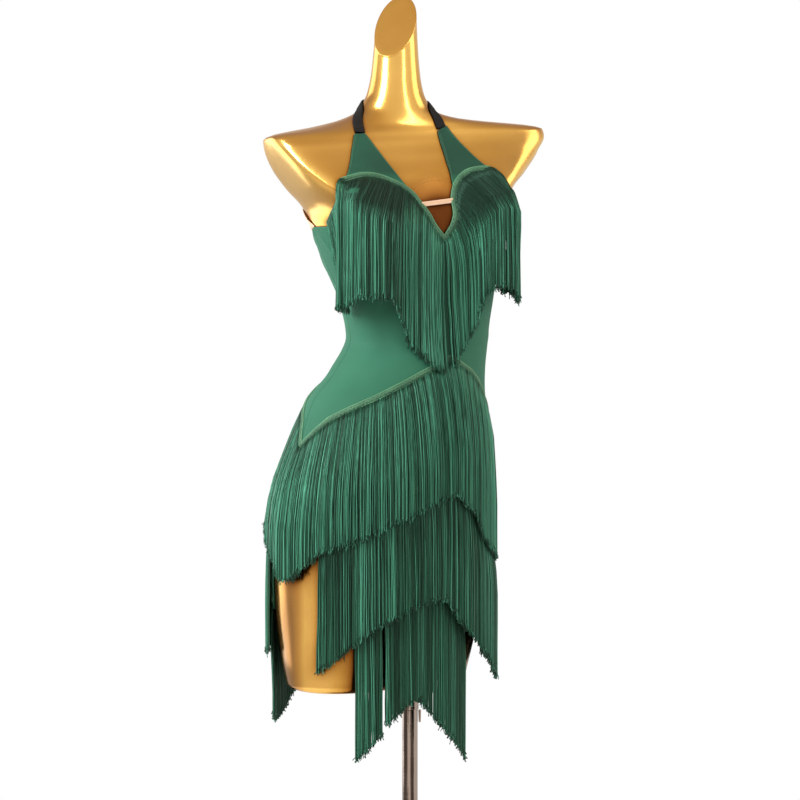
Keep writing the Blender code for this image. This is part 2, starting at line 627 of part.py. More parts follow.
def make_halters(green):
    """The two triangles that rise from the bust braid to the neck strap."""
    for way, side, corners in zip((-1, 1), ("right", "left"), HALTER_CORNERS):
        low = np.sort(way * np.array(HALTER_FOOT))
        start = line(BUST_LINE, low) + SEAM
        ends = skin(np.array(corners), HALTER_TOP)[:, 0]
        share = (low - low[0]) / (low[-1] - low[0])
        from_x, to_x = skin(low, start)[:, 0], ends[0] + (ends[1] - ends[0]) * share
        rise = np.linspace(0, 1, 10)[:, None]
        heights = start + (HALTER_TOP - start) * rise
        angles = angle_at(from_x + (to_x - from_x) * rise, heights)
        lift = np.full(heights.shape, CLOTH_GAP + HALTER_RISE)
        sheet(f"halter_{side}", figure(angles, heights, lift), figure(angles, heights, lift + CLOTH), green)


def make_elastics(black, nude):
    """The neck strap, the band round the back and the bridge between the bust cups."""
    strap = np.array(STRAP)
    tape("neck_strap", strap[:, 0], strap[:, 1], STRAP_WIDE, STRAP_GAP, ELASTIC, black)
    around = np.linspace(-BACK_BAND_ANGLE, BACK_BAND_ANGLE, 15)
    height = BACK_BAND_MIDDLE - BACK_BAND_FALL * (around / BACK_BAND_ANGLE) ** 2
    tape("back_band", around + 180, height, BACK_BAND_WIDE, CLOTH_GAP + 2 * CLEAR, ELASTIC, nude)
    sides = np.array([-BRIDGE_ANGLE, BRIDGE_ANGLE])
    ends = figure(sides, BRIDGE_HEIGHT, np.full(2, CLOTH_GAP + CLEAR + 0.0001))
    share = np.linspace(0, 1, 5)[None, :, None]
    bridge = ends[0] + (ends[1] - ends[0]) * share
    bridge = bridge + np.array([[[0, 0, -BRIDGE_TALL / 2]], [[0, 0, BRIDGE_TALL / 2]]])
    sheet("bridge_elastic", bridge, bridge + np.array([0, -BRIDGE_THICK, 0]), nude)


def make_skirt(green):
    """The apron and the tail that carry the two lower rows of fringe."""
    corners = [-APRON_EDGE, -50, -12, 32.5, APRON_EDGE]
    apron = np.sort(np.concatenate([FRONT_ANGLES, corners]))
    panel("front_skirt", apron, line(APRON_HEM, apron), line(HIP_LINE, apron) - SEAM, green)
    corners = [180 - TAIL_EDGE, 108, 180, 252, 180 + TAIL_EDGE]
    tail = np.sort(np.concatenate([corners, BACK_ANGLES[1:-1]]))
    top = line(HIP_LINE_BACK, tail - 180) - SEAM
    panel("back_skirt", tail, line(TAIL_HEM, tail - 180), top, green)


def slack(angle):
    """The share of the bust's bulge that the bust fringe keeps below it."""
    return np.interp(angle, (40, 58), (1.0, 0.15))


def make_fringes(thread):
    """Every row of fringe."""
    torso = Fall((-0.002, 0.012), 1.03, 1.36)
    hips = Fall((-0.042, 0.002), 0.50, 1.13)
    for name, first, last, table, back, locks, out_high, out_low, ramp in FRINGES:
        bust = name == "bust_fringe"
        fringe(
            name, (first, last), table, back, locks, torso if bust else hips, (out_high, out_low), ramp,
            thread, slack if bust else None,
        )


def main():
    for obj in list(bpy.data.objects):
        bpy.data.objects.remove(obj)

    gold = paint("gold_lacquer", (0.72, 0.42, 0.11), 0.22, 0.7)
    steel = paint("brushed_steel", (0.45, 0.40, 0.36), 0.35, 1.0)
    dark = paint("black_steel", (0.05, 0.05, 0.05), 0.45, 0.6)
    green = paint("green_jersey", (0.02, 0.22, 0.12), 0.7)
    thread = paint("green_fringe", (0.01, 0.14, 0.07), 0.55)
    black = paint("black_elastic", (0.012, 0.012, 0.012), 0.8)
    nude = paint("nude_elastic", (0.72, 0.42, 0.30), 0.7)

    cut_arms(loft("dress_form", form_rings(), gold), gold)
    make_stand(steel, dark)
    make_bodice(green)
    make_halters(green)
    make_elastics(black, nude)
    make_skirt(green)
    make_fringes(thread)


if __name__ == "__main__":
    main()
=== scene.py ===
import math
from collections import namedtuple

import bmesh
import bpy
import numpy as np
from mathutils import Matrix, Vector


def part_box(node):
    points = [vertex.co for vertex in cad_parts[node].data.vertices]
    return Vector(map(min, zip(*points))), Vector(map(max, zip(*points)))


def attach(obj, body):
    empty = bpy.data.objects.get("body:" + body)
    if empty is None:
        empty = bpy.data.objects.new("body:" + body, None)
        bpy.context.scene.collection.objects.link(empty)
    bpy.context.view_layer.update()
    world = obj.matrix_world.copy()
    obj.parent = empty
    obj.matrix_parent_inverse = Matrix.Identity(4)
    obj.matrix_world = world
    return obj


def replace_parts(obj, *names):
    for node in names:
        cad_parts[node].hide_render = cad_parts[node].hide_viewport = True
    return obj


# A fringed Latin dance dress on a lacquered dress form. Metres, +Z up, the pole's axis at x = y = 0.
# An angle goes round the figure from its centre front, positive towards the wearer's left.

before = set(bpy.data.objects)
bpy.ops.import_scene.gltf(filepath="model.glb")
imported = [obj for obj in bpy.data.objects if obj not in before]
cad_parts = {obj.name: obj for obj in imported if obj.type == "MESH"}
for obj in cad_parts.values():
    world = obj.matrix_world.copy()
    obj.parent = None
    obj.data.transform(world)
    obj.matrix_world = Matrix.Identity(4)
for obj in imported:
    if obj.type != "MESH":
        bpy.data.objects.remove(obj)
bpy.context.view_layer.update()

# ---------------------------------------------------------------- the figure, as in the CAD

FIGURE = np.array((
    # height, centre_x, centre_y, half_width, front, back, square, twist, roll, cleft
    (0.643, -0.062, -0.013, 0.143, 0.08, 0.084, 2.2, 12, 0, 0.6),
    (0.672, -0.0595, -0.0115, 0.149, 0.087, 0.096, 2.2, 12, 0, 0.52),
    (0.7, -0.0555, -0.009, 0.1535, 0.093, 0.106, 2.2, 12, 0, 0.42),
    (0.75, -0.049, -0.001, 0.1595, 0.105, 0.12, 2.2, 12, 0, 0.22),
    (0.806, -0.045, 0.003, 0.163, 0.11, 0.126, 2.2, 12, 0, 0.06),
    (0.862, -0.043, 0.003, 0.166, 0.113, 0.122, 2.2, 12, 0, 0),
    (0.918, -0.04, 0, 0.162, 0.113, 0.114, 2.2, 12, 0, 0),
    (0.974, -0.034, -0.004, 0.151, 0.108, 0.1, 2.2, 10, 0, 0),
    (1.03, -0.029, -0.008, 0.134, 0.099, 0.086, 2.2, 7, 0, 0),
    (1.072, -0.013, -0.01, 0.114, 0.091, 0.078, 2.2, 6, 0.5, 0),
    (1.121, 0.004, -0.01, 0.102, 0.084, 0.074, 2.2, 3, 1, 0),
    (1.17, 0.006, -0.007, 0.11, 0.083, 0.078, 2.2, -2, 1.5, 0),
    (1.226, 0.003, -0.002, 0.127, 0.087, 0.088, 2.2, -4, 2.5, 0),
    (1.282, -0.0015, 0.004, 0.1405, 0.088, 0.096, 2.3, -6, 3.5, 0),
    (1.31, -0.0085, 0.01, 0.15, 0.086, 0.094, 2.5, -7, 4, 0),
    (1.338, -0.009, 0.013, 0.18, 0.079, 0.085, 3, -8, 4, 0),
    (1.366, -0.01, 0.014, 0.206, 0.066, 0.078, 3.3, -8, 4, 0),
    (1.387, -0.006, 0.014, 0.216, 0.0557, 0.069, 3.3, -8, 3.7, 0),
    (1.401, -0.004, 0.015, 0.212, 0.0505, 0.058, 3, -9, 3.4, 0),
    (1.408, -0.004, 0.017, 0.184, 0.0494, 0.052, 2.4, -10, 3.3, 0),
    (1.4135, -0.007, 0.018, 0.136, 0.0478, 0.048, 2.1, -12, 3.1, 0),
    (1.422, -0.01, 0.018, 0.084, 0.0455, 0.048, 2, -14, 2.2, 0),
    (1.432, -0.012, 0.018, 0.056, 0.0435, 0.048, 2, -18, 0.8, 0),
    (1.444, -0.013, 0.018, 0.046, 0.041, 0.045, 2, -22, 0, 0),
    (1.458, -0.013, 0.018, 0.0395, 0.0385, 0.04, 2, -25, 0, 0),
    (1.486, -0.0125, 0.018, 0.034, 0.034, 0.036, 2, -28, 0, 0),
    (1.534, -0.012, 0.018, 0.03, 0.031, 0.032, 2, -30, 0, 0),
    (1.592, -0.012, 0.018, 0.028, 0.029, 0.03, 2, -30, 0, 0),
))
# A cup is a bulge of the skin, this proud, about an angle on each side and turned outwards.
BUST_HEIGHT, BUST_ANGLE = 1.284, 37.0
BUST_PROUD, BUST_SPREAD, BUST_SPLAY = 0.042, 20.0, 20.0
BUST_ABOVE, BUST_BELOW = 0.062, 0.044

CLEFT = 0.032  # where the thighs part, across the figure
FOOT = FIGURE[0][0]
FOOT_ROUNDING = 0.01
NECK_CUT_SLOPE, NECK_CUT_FACING, NECK_CUT_ROUNDING = 1.45, -52.0, 0.0009
CHEST_FROM, NECK_FROM, NECK_ABOVE = 1.27, 1.46, 1.64  # where the form's rings change their spacing
# The planes that the arms are cut at.
ARM_CUTS = (
    # side, shoulder_x, shoulder_height, armpit_x, armpit_height, turn, depth, rounding
    (-1, -0.212, 1.394, -0.15, 1.3, -10, 0.02, 0.01),
    (1, 0.224, 1.405, 0.184, 1.31, 0, 0, 0.0035),
)
ARM_CUT_FROM, ARM_CUT_RISE = 1.272, 0.025  # a cut sets in over this rise of height

# Lines of the fringes' braids: (angle, height). A back line's angles start at the centre back and are
# positive towards the wearer's right.
BUST_LINE = (
    (-67, 1.284), (-50, 1.308), (-36.5, 1.338), (-31.5, 1.3415), (-26.5, 1.3445), (-23, 1.344),
    (-19.5, 1.3405), (-17.7, 1.3375), (-13, 1.3285), (-9.2, 1.318), (-7, 1.308), (-5.9, 1.2965),
    (-5, 1.285), (-3.7, 1.2735), (-1.2, 1.2635), (2, 1.2522), (4.8, 1.261), (7.8, 1.27),
    (9.8, 1.282), (11.2, 1.293), (12.2, 1.3065), (13, 1.3185), (14.5, 1.3285), (16.8, 1.337),
    (19.5, 1.342), (23, 1.344), (27, 1.344), (32, 1.3315), (38, 1.314), (50, 1.298),
    (67, 1.284),
)
HIP_LINE = (
    (-97.5, 0.972), (-73, 1.01), (-45, 1.038), (-22, 1.07), (0, 1.092), (22, 1.072),
    (34, 1.056), (60, 1.01), (97.5, 0.955),
)
HIP_LINE_BACK = (
    (-82.5, 0.955), (-76, 0.99), (-50, 1.045), (0, 1.1), (50, 1.05), (76, 1.005),
    (82.5, 0.972),
)
MID_LINE = ((-82, 0.826), (-40, 0.89), (0, 0.934), (40, 0.872), (82, 0.835))
MID_LINE_BACK = ((-79, 0.85), (-50, 0.88), (0, 0.934), (79, 0.845))
LOW_LINE = ((-48, 0.722), (-12, 0.806), (28, 0.722))
LOW_LINE_BACK = ((-72, 0.745), (0, 0.815), (72, 0.75))

# How far each row's hem hangs below its line: (angle, drop).
BUST_DROP = (
    (-67, 0.129), (-50, 0.152), (-34, 0.182), (-26.5, 0.176), (-19.5, 0.165), (-13, 0.158),
    (-9, 0.199), (-7, 0.205), (-5, 0.197), (-3.7, 0.193), (0.5, 0.186), (2, 0.172),
    (7, 0.161), (13, 0.145), (17.5, 0.149), (26.5, 0.165), (38, 0.147), (50, 0.116), (67, 0.098),
)
HIP_DROP = (
    (-97.5, 0.178), (-88, 0.186), (-72, 0.178), (-60, 0.182), (-40, 0.177), (-10, 0.178),
    (0, 0.19), (20, 0.2), (30, 0.218), (42, 0.217), (58, 0.207), (70, 0.184),
    (80, 0.158), (97.5, 0.11),
)
HIP_DROP_BACK = ((-82.5, 0.12), (-72, 0.176), (0, 0.186), (70, 0.186), (82.5, 0.18))
MID_DROP = (
    (-72, 0.17), (-65, 0.173), (-45, 0.163), (-32, 0.157), (-18, 0.154), (-8, 0.16),
    (0, 0.169), (8, 0.186), (25, 0.201), (38, 0.216), (48, 0.228), (55, 0.221),
    (62, 0.21), (70, 0.19), (80, 0.175),
)
MID_DROP_BACK = (
    (-79, 0.185), (-60, 0.194), (-50, 0.191), (0, 0.17), (30, 0.185), (45, 0.198), (55, 0.182),
    (66, 0.166),
)
LOW_DROP = ((-47, 0.17), (-33, 0.17), (-31.5, 0.163), (-20, 0.16), (-12, 0.174), (8, 0.186), (27.5, 0.189))
LOW_DROP_BACK = (
    (-70, 0.148), (-20, 0.172), (0, 0.172), (14, 0.167), (20, 0.17), (28, 0.18), (36, 0.184),
    (45, 0.186), (52, 0.176), (62, 0.156), (70, 0.146),
)

# The panels' edges: angles, and (angle, height) along the neckline at the back and the two hems.
SIDE_SEAM, APRON_EDGE, TAIL_EDGE = 97.5, 84.0, 79.0
UNDERARM_HEIGHT, UNDERARM_ANGLE = 1.279, 67.0
BACK_NECK = ((-82.5, 1.278), (-40, 1.222), (0, 1.19), (40, 1.222), (82.5, 1.278))
APRON_HEM = (
    (-84, 0.85), (-70, 0.85), (-67, 0.812), (-52.5, 0.812), (-50, 0.714), (-12, 0.795), (30, 0.714),
    (32.5, 0.8), (84, 0.78),
)
TAIL_HEM = (
    (-79, 0.795), (-72, 0.735), (0, 0.805), (62, 0.7475), (66, 0.8), (70, 0.84), (79, 0.85),
)
# The halters, the wearer's right one first: angles at the foot, and angles and heights at the strap.
HALTER_FEET = ((-35, -7), (12, 28))
HALTER_CORNERS = ((-24, -20), (8.5, 14.5))
HALTER_TOPS = ((1.4005, 1.4005), (1.401, 1.408))
HALTER_COLUMNS, HALTER_ROWS, HALTER_BOW = 27, 46, 0.1
# The neck's elastic, (angle, height) from the front of the right halter round the neck to the left one.
STRAP = (
    (-22, 1.4025), (-25.5, 1.408), (-36, 1.4152), (-47, 1.42), (-59, 1.4246), (-70.5, 1.43),
    (-83, 1.4362), (-95, 1.44), (-120, 1.4435), (-150, 1.4455), (-180, 1.446), (-210, 1.4455),
    (-240, 1.4435), (-265, 1.4415), (-285, 1.439), (-300, 1.4355), (-310, 1.4315), (-319, 1.427),
    (-328, 1.422), (-339, 1.4164), (-346, 1.4104), (-349, 1.405),
)
STRAP_WIDTH, BACK_BAND_WIDTH, BAND_POINTS = 0.014, 0.0105, 19  # points across a band
BACK_BAND_HEIGHT, BACK_BAND_SAG, BACK_BAND_END = 1.319, 0.04, 83.5  # how much lower it is at its end
BRIDGE_ENDS = ((-5.9, 1.3003), (12, 1.3035))
BRIDGE_HALF_WIDTH, BRIDGE_THICK, BRIDGE_LENGTH = 0.0033, 0.0006, 0.035

# The gold round the hollow is darkened in colour, a painted reflection of the dark inside of the dress.
HOLLOW, HOLLOW_REACH = (-0.006, -0.09, 1.284), 0.115  # where the neckline is deepest
# Upright strips of the thigh whose gold is darkened, a painted reflection of the dark inside of the
# fringe; heights are squeezed together.
THIGH_SQUEEZE = 0.2
THIGH_INNER, THIGH_INNER_REACH = (-0.135, -0.1, 0.67 * THIGH_SQUEEZE), 0.05
THIGH_OUTER, THIGH_OUTER_REACH = (-0.206, -0.02, 0.7 * THIGH_SQUEEZE), 0.034
WHITE = (1.0, 1.0, 1.0)
# Painted shade and painted reflection: what the gold's colour is multiplied by, in narrow places, in
# the hollow, and on the two strips.
GOLD_PAINTED_SHADES = (
    (
        (0.28, (0.06, 0.028, 0.014)), (0.6, (0.36, 0.24, 0.16)), (0.82, (0.74, 0.62, 0.52)), (0.97, WHITE),
    ), (
        (0.1, (0.17, 0.085, 0.07)), (0.24, (0.24, 0.14, 0.11)), (0.42, (0.58, 0.44, 0.36)),
        (0.62, (0.85, 0.78, 0.7)), (1.0, WHITE),
    ), (
        (0.2, (0.3, 0.25, 0.22)), (0.4, (0.6, 0.48, 0.36)), (0.72, (0.85, 0.79, 0.64)), (1.0, WHITE),
    ), (
        (0.35, (0.42, 0.33, 0.34)), (0.72, (0.72, 0.61, 0.55)), (1.0, WHITE),
    ),
)
# Distances out from the skin: the cloth's two faces, and the back of a braid's tape.
CLOTH_INSIDE, CLOTH_OUTSIDE, BRAID_LIFT = 0.0007, 0.0021, 0.0024
CREASE_RADIUS, MAP_RADIUS, SIDE_RADIUS = 0.115, 0.125, 0.13  # of the figure, roughly
SEAM_GAP = 0.08  # degrees from each panel's edge to the side seam
HEM_THICK, HEM_DEEP, EDGE_ROUNDING = 0.00045, 0.0042, 0.0007  # what a turned hem adds, and its depth
STITCH_PITCH, STITCH_LENGTH, STITCH_RADIUS = 0.003, 0.0019, 0.00022
STITCH_INSET, STITCH_LIFT, STITCH_DIP = 0.0034, 0.0006, 0.00025  # from the edge, above and into the cloth

# Creases in the cloth, each a soft ridge (or a trough, if its rise is below 0) between two places.
CREASES = (
    # angle_1, height_1, angle_2, height_2, half_width, rise
    (-88, 1.268, -76, 1.236, 0.0035, 0.0016),
    (86, 1.266, 73, 1.228, 0.004, 0.0014),
    (-96, 1.14, -62, 1.122, 0.0075, 0.0013),
    (-94, 1.112, -50, 1.104, 0.009, -0.0009),
    (-90, 1.165, -58, 1.15, 0.008, -0.0008),
    (92, 1.128, 58, 1.118, 0.007, 0.0012),
    (95, 1.15, 66, 1.146, 0.0085, -0.0008),
    (-58, 1.07, -30, 1.094, 0.01, 0.0008),
    (118, 1.14, 168, 1.112, 0.0085, 0.0013),
    (122, 1.112, 160, 1.096, 0.007, -0.001),
    (236, 1.15, 194, 1.12, 0.008, 0.0013),
    (240, 1.12, 206, 1.1, 0.009, -0.0009),
    (150, 1.196, 212, 1.19, 0.011, 0.001),
    (110, 1.24, 128, 1.205, 0.006, 0.0011),
    (250, 1.236, 230, 1.2, 0.0065, 0.0012),
)

# ---------------------------------------------------------------- the fringe

# A row hangs from its line between two angles, its strands out_high from the figure at the line and
# out_low where they have fallen by ramp. hold is how far they bridge what is below the widest place,
# tone is painted shade that darkens the lower rows, and shaded is how far down a painted shade under
# the braid, or a painted shadow of the row above, keeps them dark.
Row = namedtuple("Row", "name first last line drops back out_high out_low ramp hold tone shaded")
FRINGES = [
    Row("bust_fringe", -66.5, 66.5, BUST_LINE, BUST_DROP, False, 0.0046, 0.007, 0.15, 1, 0, 0.006),
    Row("hip_fringe_front", -100, 97, HIP_LINE, HIP_DROP, False, 0.0036, 0.0098, 0.12, 1, 0, 0.006),
    Row("hip_fringe_back", -82.2, 86, HIP_LINE_BACK, HIP_DROP_BACK, True, 0.0036, 0.0098, 0.12, 1, 0, 0.006),
    Row("mid_fringe_front", -69, 80, MID_LINE, MID_DROP, False, 0.0036, 0.0068, 0.1, 1, -0.12, 0.035),
    Row("mid_fringe_back", -78, 66, MID_LINE_BACK, MID_DROP_BACK, True, 0.0036, 0.0068, 0.1, 1, -0.1, 0.035),
    Row("low_fringe_right", -47, -33, LOW_LINE, LOW_DROP, False, 0.0032, 0.0034, 0.1, 1, -0.15, 0.03),
    Row("low_fringe_left", -31.5, 27.5, LOW_LINE, LOW_DROP, False, 0.0032, 0.0034, 0.1, 1, -0.15, 0.03),
    Row(
        "low_fringe_back", -70, 62, LOW_LINE_BACK, LOW_DROP_BACK, True, 0.0032, 0.003, 0.1, 0.85, -0.12, 0.03,
    ),
]
BRAID_ENDS = (-97.4, 82.4)  # of the front rows at the wearer's right, and of the back rows there
# Over the wearer's left hip the middle row is carried further out: (angle, distance).
MID_SPREAD = ((-90, 0), (12, 0), (48, 0.0065), (70, 0.004), (90, 0))
# A row's strands, from the cloth outwards. A layer's strands are drawn together in clumps by a share.
# A layer's tone is lower nearer the cloth: painted shade among the strands.
Layer = namedtuple("Layer", "pitch depth_1 depth_2 clump gather tone radius")
LAYERS = [
    Layer(0.00085, 0, 0.0005, 0.012, 0.06, 0.12, 0.00064),
    Layer(0.00105, 0.0006, 0.0013, 0.008, 0.12, 0.36, 0.0006),
    Layer(0.00145, 0.0012, 0.0022, 0.0064, 0.22, 0.62, 0.00062),
    Layer(0.0024, 0.002, 0.0031, 0.01, 0.1, 0.76, 0.00056),
]
STRAND_SIDES, STRAND_POINTS = 3, 9
TIP_FROM = 0.975  # the share of a strand above its knotted tip
STRAND_SHARES = np.append(np.linspace(0, 1, STRAND_POINTS - 1) ** 1.3 * TIP_FROM, 1.0)
LYING_SHADE = 0.66  # how much painted shade darkens a strand where it lies back over the bust
# A braid: the length of its plait, and its three plaited and two edge cords.
PLAIT_PERIOD, PLAIT_POINTS, CORD_SIDES = 0.0064, 7, 5
CORD_RADII = (0.00088, 0.00088, 0.00088, 0.00074, 0.00074)
CORD_TONES, TAPE_TONE = (0.4, 0.7, 0.5, 1.02, 0.92), 0.05
TAPE_HALF_WIDTH, TAPE_THICK = 0.0036, 0.0004
# How far strands set off square to a sloping braid before they hang plumb, round the bust.
BUST_SWEEP = (
    (-67, 0.002), (-30, 0.004), (-14, 0.008), (-2, 0.005), (5, 0.01), (12, 0.026), (20, 0.012), (67, 0.002),
)
PLAIN_SWEEP = 0.004
# How much clumps, and the single strands in them, differ in tone, in length and in lean.
TONE_SPREAD, DROP_SPREAD, LEAN_SPREAD = (0.07, 0.21), (0.0014, 0.0022), (0.0009, 0.0006)
STRAY_SHARE, STRAY_DROP = 0.008, (0.003, 0.009)  # the strands that hang lower, and by how much
WAVE_SIZE, TIP_SPREAD = 0.0005, 0.0013  # of the waves of a strand, and how far its tip strays
BUST_SLACK = ((40, 1), (58, 0.15))  # (angle to either side, share of the bulge kept below the bust)
# The ends of the bust's braid are covered by the strands beside them.
COVER = ((-37, 1), (-33, 0), (24, 0), (29, 1))  # (angle, share covered)
COVER_ACROSS, COVER_LIFT = 0.0054, 0.0022


def monotone(xs, ys, x):
    """A smooth curve through (xs, ys) that doesn't overshoot, read at x."""
    steps = np.diff(xs)
    slopes = np.diff(ys) / steps
    before, after = slopes[:-1], slopes[1:]
    inner = np.zeros(len(before))
    same_way = before * after > 0
    inner[same_way] = (2 * before * after)[same_way] / (before + after)[same_way]
    tangents = np.concatenate([slopes[:1], inner, slopes[-1:]])
    x = np.clip(x, xs[0], xs[-1])
    i = np.clip(np.searchsorted(xs, x, side="right") - 1, 0, len(xs) - 2)
    u = (x - xs[i]) / steps[i]
    ends = ys[i] * (1 + 2 * u) * (1 - u) ** 2 + ys[i + 1] * u * u * (3 - 2 * u)
    return ends + steps[i] * u * (1 - u) * (tangents[i] * (1 - u) - tangents[i + 1] * u)


def unit(vectors, least=0.0):
    """The same directions, each 1 long; least keeps a vector of no length from dividing by 0."""
    return vectors / (np.linalg.norm(vectors, axis=-1, keepdims=True) + least)


def lengths(path):
    """How far along a path each of its points is."""
    return np.concatenate([[0], np.cumsum(np.linalg.norm(np.diff(path, axis=0), axis=1))])


def turned(angle):
    """An angle brought between -180 and 180."""
    return (angle + 180) % 360 - 180


def skin(angle, height, cleft=False):
    """Points of the figure's skin; angle and height may be arrays."""
    angle, height = np.broadcast_arrays(np.asarray(angle, float), np.asarray(height, float))
    centre_x, centre_y, width, front, back, power, twist, roll, parted = (
        monotone(FIGURE[:, 0], column, height) for column in FIGURE[:, 1:].T
    )
    side, ahead = np.sin(np.radians(angle)), np.cos(np.radians(angle))
    stretch = (np.abs(side) ** power + np.abs(ahead) ** power) ** (-1 / power)
    depth = np.where(ahead > 0, front, back)
    x, y = width * side * stretch, -depth * ahead * stretch
    if cleft:
        ends = np.where(x < CLEFT, -width, width)
        lobe = np.sqrt(np.clip(1 - (2 * (x - CLEFT) / (ends - CLEFT) - 1) ** 2, 0, None))
        y = y * (1 - parted) - 0.88 * depth * np.sign(ahead) * lobe * parted
    rise = height - BUST_HEIGHT
    reach = np.where(rise > 0, BUST_ABOVE, BUST_BELOW)
    splay = math.radians(BUST_SPLAY)
    for way in (-1, 1):
        turn = turned(angle - way * BUST_ANGLE)
        proud = BUST_PROUD * np.exp(-((turn / BUST_SPREAD) ** 2) - (rise / reach) ** 2)
        x, y = x + way * proud * math.sin(splay), y - proud * math.cos(splay)
    twist = np.radians(twist)
    return np.stack([
        centre_x + x * np.cos(twist) - y * np.sin(twist),
        centre_y + x * np.sin(twist) + y * np.cos(twist),
        height + x * np.tan(np.radians(roll)),
    ], axis=-1)


def normals(angle, height):
    """The directions that point straight out of the skin."""
    turn, rise = 0.6, 0.002
    around = skin(angle + turn, height) - skin(angle - turn, height)
    up = skin(angle, height + rise) - skin(angle, height - rise)
    return unit(np.cross(around, up))


def surface(angle, height, out):
    """Points at a distance out from the figure's skin."""
    return skin(angle, height) + normals(angle, height) * np.asarray(out)[..., None]


def line(table, at):
    """A table's line at an angle, its corners kept."""
    return np.interp(at, *np.array(table).T)


def smooth_step(x):
    x = np.clip(x, 0, 1)
    return x * x * (3 - 2 * x)


# ---------------------------------------------------------------- mesh helpers


def new_object(name, data):
    made = bpy.data.objects.new(name, data)
    bpy.context.scene.collection.objects.link(made)
    return made


def as_piece(mesh, material):
    """A piece of the visual, with its mesh's name."""
    mesh.materials.append(material)
    piece = new_object(mesh.name, mesh)
    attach(piece, "root")
    return piece


def mesh_piece(name, points, faces, material, uv=None, sharp=None):
    """A mesh piece from arrays. faces is a list of arrays, each of faces with one number of corners;
    uv holds a pair for each corner, in the faces' order; edges above the angle sharp stay sharp."""
    mesh = bpy.data.meshes.new(name)
    corners = np.concatenate([np.ravel(f) for f in faces])
    sizes = np.concatenate([np.full(len(f), np.shape(f)[1]) for f in faces])
    starts = np.concatenate([[0], np.cumsum(sizes)[:-1]])
    mesh.vertices.add(len(points))
    mesh.vertices.foreach_set("co", np.asarray(points, np.float32).reshape(-1))
    mesh.loops.add(len(corners))
    mesh.loops.foreach_set("vertex_index", corners.astype(np.int32))
    mesh.polygons.add(len(sizes))
    mesh.polygons.foreach_set("loop_start", starts.astype(np.int32))
    mesh.update(calc_edges=True)
    if uv is not None:
        layer = mesh.uv_layers.new(name="UVMap")
        layer.data.foreach_set("uv", np.asarray(uv, np.float32).reshape(-1))
    mesh.shade_smooth()
    if sharp:
        mesh.set_sharp_from_angle(angle=math.radians(sharp))
    return as_piece(mesh, material)


def give_values(piece, name, values):
    """One number for each of a mesh's points, that its material reads."""
    layer = piece.data.attributes.new(name, "FLOAT", "POINT")
    layer.data.foreach_set("value", np.asarray(values, dtype=np.float32).reshape(-1))


def grid_faces(rows, columns, wrap=False):
    """Quads of a grid of points; wrap joins its last column to its first."""
    index = np.arange(rows * columns).reshape(rows, columns)
    if wrap:
        index = np.concatenate([index, index[:, :1]], axis=1)
    corners = [index[:-1, :-1], index[:-1, 1:], index[1:, 1:], index[1:, :-1]]
    return np.stack(corners, axis=-1).reshape(-1, 4)


def capped_grid(rows, columns):
    """Quads of a tube of rings of points, and the faces that close its first and last ring."""
    ring = np.arange(columns)
    return [grid_faces(rows, columns, wrap=True), np.array([ring[::-1], ring + (rows - 1) * columns])]


def at_corners(values, faces):
    """The points' values at the faces' corners. A second layer of points has the first one's."""
    return values[np.concatenate([f.reshape(-1) for f in faces]) % len(values)]


def tubes(paths, radii, sides, turn=0.0):
    """Points and faces of many tubes along paths (tubes, points, 3), with radii of the same shape."""
    least = 1e-12
    tangents = unit(np.gradient(paths, axis=1), least)
    away = unit(paths * np.array([1.0, 1.0, 0.0]), least)
    across = unit(np.cross(tangents, away), least)
    ahead = np.cross(across, tangents)
    count, length = paths.shape[:2]
    angles = np.arange(sides) * 2 * math.pi / sides + np.broadcast_to(turn, (count,))[:, None, None]
    radii = np.broadcast_to(radii, (count, length))[..., None, None]
    points = paths[:, :, None] + radii * (
        np.cos(angles)[..., None] * across[:, :, None] + np.sin(angles)[..., None] * ahead[:, :, None]
    )
    index = np.arange(count * length * sides).reshape(count, length, sides)
    after = np.roll(index, -1, axis=2)
    quads = np.stack([index[:, :-1], after[:, :-1], after[:, 1:], index[:, 1:]], axis=-1)
    ends = np.concatenate([index[:, -1], index[:, 0, ::-1]])
    return points.reshape(-1, 3), [quads.reshape(-1, 4), ends]


# ---------------------------------------------------------------- materials


